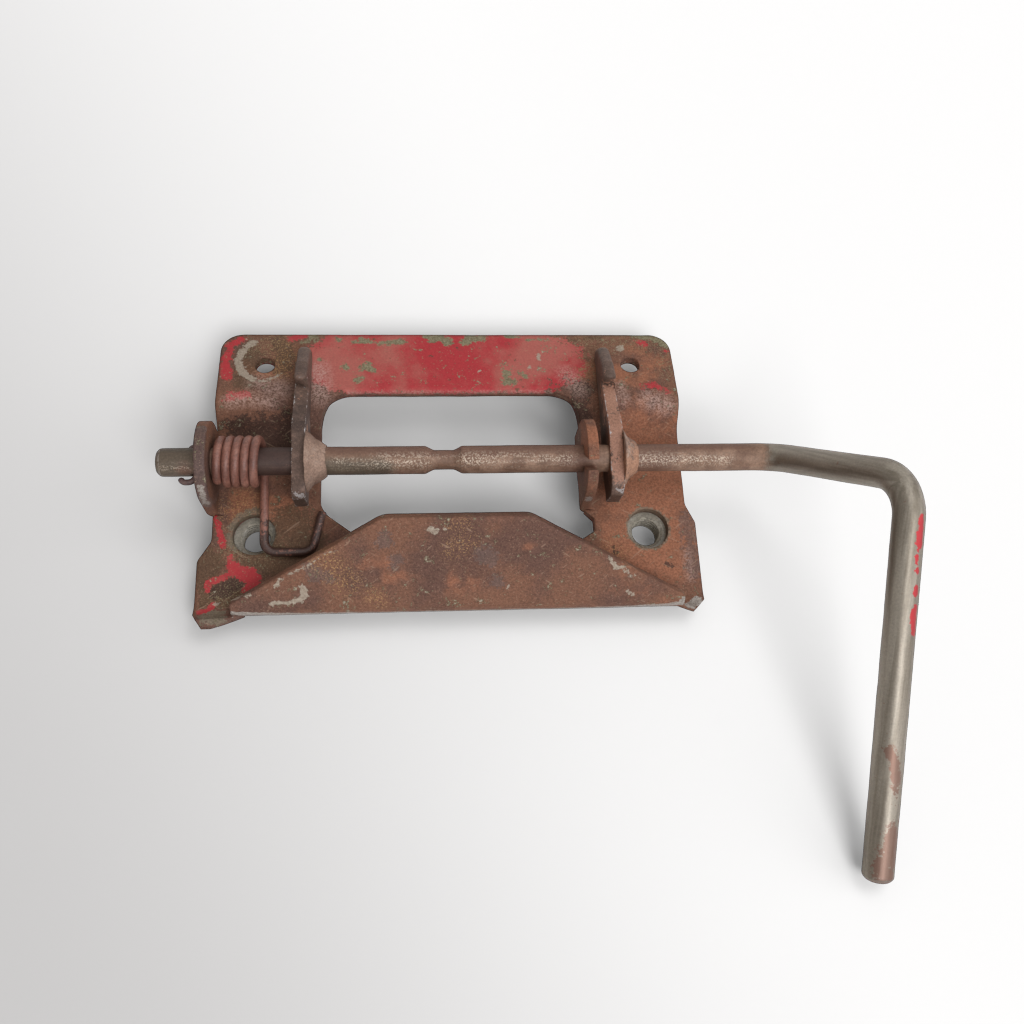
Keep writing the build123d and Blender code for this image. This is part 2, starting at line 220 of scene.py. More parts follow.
def cap(bm, ring, tip=0.35):
    """Closes a wire's end with a small rounded cap."""
    face = bmesh.ops.contextual_create(bm, geom=ring)["faces"]
    bmesh.ops.inset_region(bm, faces=face, thickness=tip * MM, depth=tip * MM)


def closed(bm):
    """Joins the doubles of a spun shape and points its faces outwards."""
    bmesh.ops.remove_doubles(bm, verts=bm.verts, dist=SPIN_JOIN * MM)
    bmesh.ops.recalc_face_normals(bm, faces=bm.faces)


# Painting tools: a mark is a half width, the softness of its edge and the points that it follows

def mark_amount(points, half, fuzz, path):
    """How far inside a mark each point lies: 0.5 at its edge, 1 well inside."""
    path = np.array(path, float)
    starts, ends = (path[:-1], path[1:]) if len(path) > 1 else (path, path)
    nearest = np.full(len(points), np.inf)
    for start, end in zip(starts, ends):
        run = end - start
        share = np.clip((points - start) @ run / max(run @ run, 1e-9), 0, 1)
        gaps = points - start - np.outer(share, run)
        nearest = np.minimum(nearest, np.linalg.norm(gaps, axis=1))
    return np.clip(0.5 + (half - nearest) / (2 * fuzz), 0, 1)


def points_of(piece):
    """Places in millimetres and normals of a piece's points."""
    mesh = piece.data
    places = np.empty(len(mesh.vertices) * 3)
    mesh.vertices.foreach_get("co", places)
    normals = np.empty(len(mesh.vertices) * 3)
    mesh.vertices.foreach_get("normal", normals)
    return places.reshape(-1, 3) / MM, normals.reshape(-1, 3)


def write_amount(piece, finish, amount):
    layer = piece.data.attributes.new(finish, "FLOAT", "POINT")
    layer.data.foreach_set("value", amount.astype(np.float32))


def finish_amount(points, marks):
    """How much of a finish lies at each point, from all its marks."""
    amount = np.zeros(len(points))
    for half, fuzz, *path in marks:
        amount = np.maximum(amount, mark_amount(points, half, fuzz, path))
    return amount


def paint(piece, finishes):
    """Writes how much of each finish lies at each point of a piece."""
    points, _ = points_of(piece)
    for finish, marks in finishes.items():
        write_amount(piece, finish, finish_amount(points, marks))


def arc_about_bar(x, radius, first, last, count=9):
    """Points on a circle about the bar's line, for a mark along an ear's rim."""
    angles = [math.radians(first + (last - first) * n / (count - 1)) for n in range(count)]
    return [(x, AXIS_Y + radius * math.cos(a), AXIS_Z + radius * math.sin(a)) for a in angles]


def ring_about(x, y, radius, first, last, level=PLATE_TOP, count=17):
    """Points on a circle about a hole of the plate, for a mark along its rim or its wall."""
    angles = [math.radians(first + (last - first) * n / (count - 1)) for n in range(count)]
    return [(x + radius * math.cos(a), y + radius * math.sin(a), level) for a in angles]


# Node tools

def add_node(tree, kind, inputs=None, **settings):
    """Node with its settings, values and links in one line."""
    made = tree.nodes.new(kind)
    for key, value in settings.items():
        setattr(made, key, value)
    for key, value in (inputs or {}).items():
        if isinstance(value, bpy.types.NodeSocket):
            tree.links.new(value, made.inputs[key])
        else:
            made.inputs[key].default_value = value
    return made


def rgba(colour):
    return (*colour, 1.0)


def mix(tree, share, under, over):
    """Colour over another colour by a share."""
    made = tree.nodes.new("ShaderNodeMix")
    made.data_type = "RGBA"
    for index, value in ((0, share), (6, under), (7, over)):
        if isinstance(value, bpy.types.NodeSocket):
            tree.links.new(value, made.inputs[index])
        elif index == 0:
            made.inputs[0].default_value = value
        else:
            made.inputs[index].default_value = rgba(value)
    return made.outputs[2]


def maths(tree, operation, a, b=0.0, clamp=False):
    made = add_node(tree, "ShaderNodeMath", {0: a, 1: b}, operation=operation, use_clamp=clamp)
    return made.outputs[0]


def times(tree, a, b):
    return maths(tree, "MULTIPLY", a, b)


def step_between(tree, value, low, high, to_low=0.0, to_high=1.0):
    """Smooth step of a value between two limits."""
    made = add_node(
        tree, "ShaderNodeMapRange",
        {"Value": value, "From Min": low, "From Max": high, "To Min": to_low, "To Max": to_high},
        interpolation_type="SMOOTHSTEP",
    )
    return made.outputs["Result"]


def attribute(tree, name, output="Fac"):
    return add_node(tree, "ShaderNodeAttribute", attribute_name=name).outputs[output]


def noise_at(tree, place, size, detail=3.0, roughness=0.55):
    """Noise with features of a size in millimetres."""
    made = add_node(
        tree, "ShaderNodeTexNoise",
        {"Vector": place, "Scale": 1000.0 / size, "Detail": detail, "Roughness": roughness},
    )
    return made.outputs["Fac"]


def new_group(name, inputs, outputs):
    """Empty shader group with its sockets."""
    group = bpy.data.node_groups.new(name, "ShaderNodeTree")
    for socket, start in inputs:
        made = group.interface.new_socket(socket, in_out="INPUT", socket_type="NodeSocketFloat")
        made.default_value = start
    for socket in outputs:
        group.interface.new_socket(socket, in_out="OUTPUT", socket_type="NodeSocketFloat")
    return group, group.nodes.new("NodeGroupInput"), group.nodes.new("NodeGroupOutput")


def rust_field_group():
    """Rust at four sizes, from wide blotches to single grains, and the height of its crust."""
    group, _, out = new_group("rust_field", [], ["Blotch", "Cloud", "Grain", "Speck", "Height"])
    place = add_node(group, "ShaderNodeTexCoord").outputs["Object"]
    blotch = noise_at(group, place, 21, 4.0, 0.6)
    cloud = noise_at(group, place, 5.5, 5.0, 0.62)
    grain = noise_at(group, place, 0.62, 5.0, 0.8)
    speck = noise_at(group, place, 0.42, 1.0)
    height = maths(group, "ADD", times(group, grain, 0.7), times(group, cloud, 0.6))
    for socket, value in (
        ("Blotch", blotch), ("Cloud", cloud), ("Grain", grain), ("Speck", speck), ("Height", height)
    ):
        group.links.new(value, out.inputs[socket])
    return group


def ragged_edge_group():
    """Turns a soft amount into a patch with a torn edge."""
    group, given, out = new_group("ragged_edge", [("Amount", 0.0), ("Tear", 0.5)], ["Patch"])
    place = add_node(group, "ShaderNodeTexCoord").outputs["Object"]
    coarse = noise_at(group, place, 3.6, 5.0, 0.7)
    fine = noise_at(group, place, 0.8, 3.0, 0.7)
    both = maths(group, "ADD", times(group, coarse, 0.6), times(group, fine, 0.4))
    strength = times(group, given.outputs["Tear"], 2.4)
    torn = times(group, maths(group, "SUBTRACT", both, 0.5), strength)
    patch = step_between(group, maths(group, "ADD", given.outputs["Amount"], torn), 0.46, 0.54)
    group.links.new(patch, out.inputs["Patch"])
    return group


def scratches_group():
    """Thin straight scratches in two directions."""
    group, _, out = new_group("scratches", [], ["Scratch"])
    place = add_node(group, "ShaderNodeTexCoord").outputs["Object"]
    lines = []
    for angle, shift in ((28, 0.0), (-36, 0.4)):
        turned_place = add_node(
            group, "ShaderNodeMapping", {
                "Vector": place, "Rotation": (0, 0, math.radians(angle)),
                "Location": (shift, shift, 0),
            },
        ).outputs["Vector"]
        drawn = add_node(
            group, "ShaderNodeMapping", {"Vector": turned_place, "Scale": (0.09, 1.0, 0.4)}
        ).outputs["Vector"]
        line = noise_at(group, drawn, 0.85, 1.0)
        lines.append(step_between(group, line, 0.715, 0.75))
    group.links.new(maths(group, "MAXIMUM", *lines), out.inputs["Scratch"])
    return group


RUST_FIELD = rust_field_group()
RAGGED_EDGE = ragged_edge_group()
SCRATCHES = scratches_group()


def use_group(tree, group, **values):
    return add_node(tree, "ShaderNodeGroup", values, node_tree=group)


def new_material(name):
    material = bpy.data.materials.new(name)
    material.use_nodes = True
    tree = material.node_tree
    return material, tree, tree.nodes["Principled BSDF"]


def patch_of(tree, amount, tear):
    return use_group(tree, RAGGED_EDGE, Amount=amount, Tear=tear).outputs["Patch"]


def shade_by(tree, colour, value, low, high):
    """Colour made darker and lighter by a value."""
    factor = step_between(tree, value, 0.28, 0.72, low, high)
    made = add_node(tree, "ShaderNodeVectorMath", {0: colour}, operation="SCALE")
    tree.links.new(factor, made.inputs["Scale"])
    return made.outputs["Vector"]


def bump_from(tree, height, depth):
    """Normal from a height, with its depth in millimetres."""
    return add_node(
        tree, "ShaderNodeBump", {"Height": height, "Strength": 1.0, "Distance": depth * MM}
    ).outputs["Normal"]


# Finishes, each named colour as it looks in plain light
PURPLE_RUST = (0.116, 0.061, 0.046)
BROWN_RUST = (0.178, 0.086, 0.055)
ORANGE_RUST = (0.275, 0.116, 0.067)
OLIVE_BROWN = (0.098, 0.060, 0.036)
BLUISH_BROWN = (0.115, 0.082, 0.074)
# Stains, and painted shade on the plate behind the spring and the left lever
DARK_STAIN_AND_SHADE = (0.062, 0.034, 0.026)
TAN = (0.40, 0.28, 0.20)
OCHRE = (0.44, 0.26, 0.11)
RED = (0.385, 0.038, 0.044)
FADED_RED = (0.385, 0.112, 0.092)
CHALKY_PINK = (0.50, 0.35, 0.30)
PRIMER_DARK = (0.125, 0.100, 0.058)
PRIMER_LIGHT = (0.275, 0.245, 0.155)
PALE_DARK = (0.26, 0.205, 0.155)
PALE_LIGHT = (0.44, 0.385, 0.31)
STEEL_DARK = (0.21, 0.175, 0.15)
STEEL_LIGHT = (0.45, 0.41, 0.37)
PURPLE_STEEL = (0.105, 0.070, 0.062)
WORN_GREY = (0.165, 0.140, 0.102)
MOSS = (0.25, 0.215, 0.125)
BAR_BROWN = (0.172, 0.099, 0.066)
BAR_TAN = (0.275, 0.172, 0.119)
BAR_PURPLE = (0.032, 0.016, 0.014)
BAR_OLIVE = (0.084, 0.068, 0.048)
BAR_RUST = (0.142, 0.074, 0.052)
# Painted highlight colours of the glints on the bar
GLINT = (0.68, 0.58, 0.46)
GOLD_GLINT = (0.50, 0.33, 0.15)
SATIN_DARK = (0.162, 0.139, 0.109)
SATIN_LIGHT = (0.282, 0.251, 0.207)
HANDLE_STAIN = (0.165, 0.082, 0.060)


def rusty_steel(
    name, deep, body, light, bare_and_highlight=STEEL_LIGHT, bare_share=0.6, tear=1.2, grain_depth=0.12,
    rough=0.66, rust_and_shade_patch=ORANGE_RUST, gloss=0.2, shine=0.5,
):
    """Rusted steel with worn metal on its worn edges and in its marks, some of which are painted
    highlights; on the spring and the nuts its rust patches are painted shade.
    """
    material, tree, shader = new_material(name)
    shader.inputs["Specular IOR Level"].default_value = gloss
    rust = use_group(tree, RUST_FIELD).outputs
    colour = mix(tree, step_between(tree, rust["Blotch"], 0.38, 0.6), deep, body)
    colour = mix(tree, step_between(tree, rust["Cloud"], 0.48, 0.7), colour, light)
    # Rust patches, which on the spring's foot and in the nuts' thread roots are painted shade
    rust_and_shade_cover = patch_of(tree, attribute(tree, "rust_and_shade"), 1.6)
    colour = mix(tree, times(tree, rust_and_shade_cover, 0.85), colour, rust_and_shade_patch)
    colour = shade_by(tree, colour, rust["Grain"], 0.62, 1.4)
    flecks = step_between(tree, rust["Speck"], 0.66, 0.76)
    colour = mix(tree, times(tree, flecks, 0.3), colour, TAN)
    # Worn metal on the edges and in the marks; the marks on lever corners and thread crests also
    # paint highlights
    worn = times(tree, attribute(tree, "wear"), bare_share)
    worn = maths(tree, "MAXIMUM", worn, attribute(tree, "bare_and_highlight"))
    metal = patch_of(tree, worn, tear)
    colour = mix(tree, metal, colour, bare_and_highlight)
    tree.links.new(colour, shader.inputs["Base Color"])
    tree.links.new(step_between(tree, metal, 0.0, 1.0, rough, 0.36), shader.inputs["Roughness"])
    tree.links.new(times(tree, metal, shine), shader.inputs["Metallic"])
    tree.links.new(bump_from(tree, rust["Height"], grain_depth), shader.inputs["Normal"])
    return material


def plate_finish():
    """Red paint worn through to primer and rust, with worn steel on its edges, and with painted
    highlights and painted shade among its marks.
    """
    material, tree, shader = new_material("worn_red_paint")
    shader.inputs["Specular IOR Level"].default_value = 0.14
    rust = use_group(tree, RUST_FIELD).outputs
    colour = mix(tree, step_between(tree, rust["Blotch"], 0.38, 0.6), PURPLE_RUST, BROWN_RUST)
    cloudy = times(tree, maths(tree, "SUBTRACT", rust["Cloud"], 0.5), 1.7)
    warmth = maths(tree, "ADD", attribute(tree, "warm"), cloudy)
    colour = mix(tree, step_between(tree, warmth, 0.2, 0.85), colour, ORANGE_RUST)
    for finish, share, stain in (
        ("olive", 0.75, OLIVE_BROWN), ("blue", 0.6, BLUISH_BROWN), ("dark_stain_and_shade", 0.85, DARK_STAIN_AND_SHADE),
        ("steel", 0.85, PURPLE_STEEL), ("grey", 0.75, WORN_GREY),
    ):
        covered = patch_of(tree, attribute(tree, finish), 1.5)
        colour = mix(tree, times(tree, covered, share), colour, stain)
    colour = shade_by(tree, colour, rust["Grain"], 0.6, 1.42)
    flecks = step_between(tree, rust["Speck"], 0.64, 0.74)
    colour = mix(tree, times(tree, flecks, 0.4), colour, TAN)
    scratch = use_group(tree, SCRATCHES).outputs["Scratch"]
    colour = mix(tree, times(tree, scratch, 0.34), colour, TAN)
    for finish, share, tint in (("ochre", 0.85, OCHRE), ("moss", 0.8, MOSS)):
        specks = step_between(tree, rust["Speck"], 0.53, 0.67)
        speckled = times(tree, attribute(tree, finish), specks)
        colour = mix(tree, times(tree, speckled, share), colour, tint)
    faded = maths(tree, "ADD", times(tree, rust["Cloud"], 0.2), times(tree, rust["Blotch"], 0.8))
    faded = maths(tree, "ADD", faded, times(tree, attribute(tree, "faded"), 0.22))
    red = mix(tree, step_between(tree, faded, 0.46, 0.68), RED, FADED_RED)
    red = shade_by(tree, red, rust["Grain"], 0.84, 1.14)
    rubbed = times(tree, attribute(tree, "rim"), 0.10)
    painted = patch_of(tree, maths(tree, "SUBTRACT", attribute(tree, "red"), rubbed), 1.8)
    pits = step_between(tree, rust["Speck"], 0.68, 0.74)
    painted = times(tree, painted, maths(tree, "SUBTRACT", 1.0, pits))
    colour = mix(tree, painted, colour, red)
    # Pale pink specks of faded paint, and a painted highlight line along the window's upper edge
    chalk_and_rim_highlight_mask = times(tree, attribute(tree, "chalk_and_rim_highlight"), step_between(tree, rust["Grain"], 0.40, 0.62))
    colour = mix(tree, times(tree, chalk_and_rim_highlight_mask, 0.7), colour, CHALKY_PINK)
    primer = patch_of(tree, attribute(tree, "primer"), 2.2)
    green = mix(tree, step_between(tree, rust["Grain"], 0.36, 0.64), PRIMER_DARK, PRIMER_LIGHT)
    colour = mix(tree, primer, colour, green)
    pale = patch_of(tree, attribute(tree, "pale"), 1.6)
    chalk_and_rim_highlight = mix(tree, step_between(tree, rust["Grain"], 0.32, 0.68), PALE_DARK, PALE_LIGHT)
    colour = mix(tree, times(tree, pale, 0.85), colour, chalk_and_rim_highlight)
    worn = patch_of(tree, times(tree, attribute(tree, "wear"), 0.6), 1.2)
    # Worn steel, which on the ear rims and the front fold also paints highlights
    worn = maths(tree, "MAXIMUM", worn, patch_of(tree, attribute(tree, "bare_and_highlight"), 1.1))
    steel = mix(tree, step_between(tree, rust["Grain"], 0.34, 0.66), STEEL_DARK, STEEL_LIGHT)
    edge = mix(tree, attribute(tree, "red"), steel, CHALKY_PINK)
    colour = mix(tree, worn, colour, edge)
    tree.links.new(colour, shader.inputs["Base Color"])
    smooth = maths(tree, "MAXIMUM", painted, maths(tree, "MAXIMUM", worn, attribute(tree, "steel")))
    tree.links.new(step_between(tree, smooth, 0.0, 1.0, 0.68, 0.44), shader.inputs["Roughness"])
    tree.links.new(times(tree, worn, 0.4), shader.inputs["Metallic"])
    crust = times(tree, rust["Height"], step_between(tree, painted, 0.0, 1.0, 1.0, 0.35))
    film = times(tree, maths(tree, "MAXIMUM", painted, maths(tree, "MAXIMUM", pale, primer)), 0.5)
    tree.links.new(bump_from(tree, maths(tree, "ADD", crust, film), 0.14), shader.inputs["Normal"])
    return material


def bar_finish():
    """Rubbed rust on the straight bar with painted highlights of glints along its upper front,
    smooth darker steel on the crank and handle.
    """
    material, tree, shader = new_material("rubbed_bar_steel")
    shader.inputs["Specular IOR Level"].default_value = 0.3
    rust = use_group(tree, RUST_FIELD).outputs
    lay = attribute(tree, "lay", "Vector")
    drawn = noise_at(tree, lay, 2.4, 4.0, 0.6)
    uneven = times(tree, maths(tree, "SUBTRACT", drawn, 0.5), 1.3)
    colour = mix(tree, step_between(tree, rust["Cloud"], 0.38, 0.64), BAR_BROWN, BAR_TAN)
    for finish, share, stain in (
        ("purple", 0.9, BAR_PURPLE), ("olive", 0.85, BAR_OLIVE), ("rust_and_shade", 0.85, BAR_RUST),
    ):
        covered = step_between(tree, maths(tree, "ADD", attribute(tree, finish), uneven), 0.2, 0.8)
        colour = mix(tree, times(tree, covered, share), colour, stain)
    colour = shade_by(tree, colour, rust["Grain"], 0.74, 1.28)
    # Painted highlight: fine pale glints and golden specks in the gleam band, which runs along the
    # bar's upper front where the lamps' highlight falls
    specks = step_between(tree, rust["Speck"], 0.49, 0.60)
    glints = times(tree, specks, step_between(tree, drawn, 0.38, 0.56))
    gleam = times(tree, attribute(tree, "gleam"), glints)
    colour = mix(tree, times(tree, gleam, 0.72), colour, GLINT)
    gold_glints = times(tree, attribute(tree, "gleam"), step_between(tree, rust["Grain"], 0.6, 0.7))
    colour = mix(tree, times(tree, gold_glints, 0.6), colour, GOLD_GLINT)
    satin = mix(tree, step_between(tree, drawn, 0.34, 0.66), SATIN_DARK, SATIN_LIGHT)
    satin = shade_by(tree, satin, rust["Grain"], 0.86, 1.16)
    crank = maths(tree, "ADD", attribute(tree, "crank"), times(tree, uneven, 0.4))
    smooth = step_between(tree, crank, 0.3, 0.7)
    colour = mix(tree, smooth, colour, satin)
    stained = patch_of(tree, attribute(tree, "stain"), 1.6)
    colour = mix(tree, times(tree, stained, 0.75), colour, HANDLE_STAIN)
    red = patch_of(tree, attribute(tree, "red"), 1.2)
    colour = mix(tree, red, colour, RED)
    worn = patch_of(tree, times(tree, attribute(tree, "wear"), 0.6), 1.2)
    colour = mix(tree, worn, colour, STEEL_DARK)
    tree.links.new(colour, shader.inputs["Base Color"])
    tree.links.new(step_between(tree, smooth, 0.0, 1.0, 0.55, 0.45), shader.inputs["Roughness"])
    metal = maths(tree, "MAXIMUM", times(tree, smooth, 0.75), times(tree, gleam, 0.4))
    tree.links.new(metal, shader.inputs["Metallic"])
    crust = times(tree, rust["Height"], step_between(tree, smooth, 0.0, 1.0, 1.0, 0.3))
    tree.links.new(bump_from(tree, crust, 0.10), shader.inputs["Normal"])
    return material


PLATE = plate_finish()
BAR = bar_finish()
LEVER = rusty_steel(
    "dark_lever_steel", (0.054, 0.034, 0.027), (0.100, 0.063, 0.048), (0.165, 0.105, 0.082),
    bare_and_highlight=(0.40, 0.37, 0.36), bare_share=0.42, rough=0.52, gloss=0.25,
    rust_and_shade_patch=(0.34, 0.176, 0.119),
)
WELD = rusty_steel(
    "rusted_weld", (0.175, 0.106, 0.078), (0.29, 0.195, 0.148), (0.38, 0.28, 0.225),
    grain_depth=0.16, rust_and_shade_patch=(0.36, 0.195, 0.125),
)
# Its near-black patch colour is painted shade on the spring's leg and foot
SPRING = rusty_steel(
    "spring_rust", (0.120, 0.050, 0.037), (0.205, 0.087, 0.063), (0.265, 0.125, 0.093),
    grain_depth=0.05, rough=0.42, rust_and_shade_patch=(0.026, 0.015, 0.012), gloss=0.4,
)
PIN = rusty_steel(
    "dark_pin_steel", (0.050, 0.030, 0.030), (0.085, 0.049, 0.046), (0.13, 0.078, 0.068),
    grain_depth=0.05, rough=0.5, gloss=0.4,
)
# Its deep brown patch colour is painted shade in the thread roots
NUT = rusty_steel(
    "dull_nut_steel", (0.150, 0.128, 0.096), (0.265, 0.242, 0.195), (0.38, 0.355, 0.30),
    bare_and_highlight=(0.42, 0.385, 0.31), grain_depth=0.06, rough=0.5, gloss=0.4, shine=0.2,
    rust_and_shade_patch=(0.070, 0.055, 0.038),
)

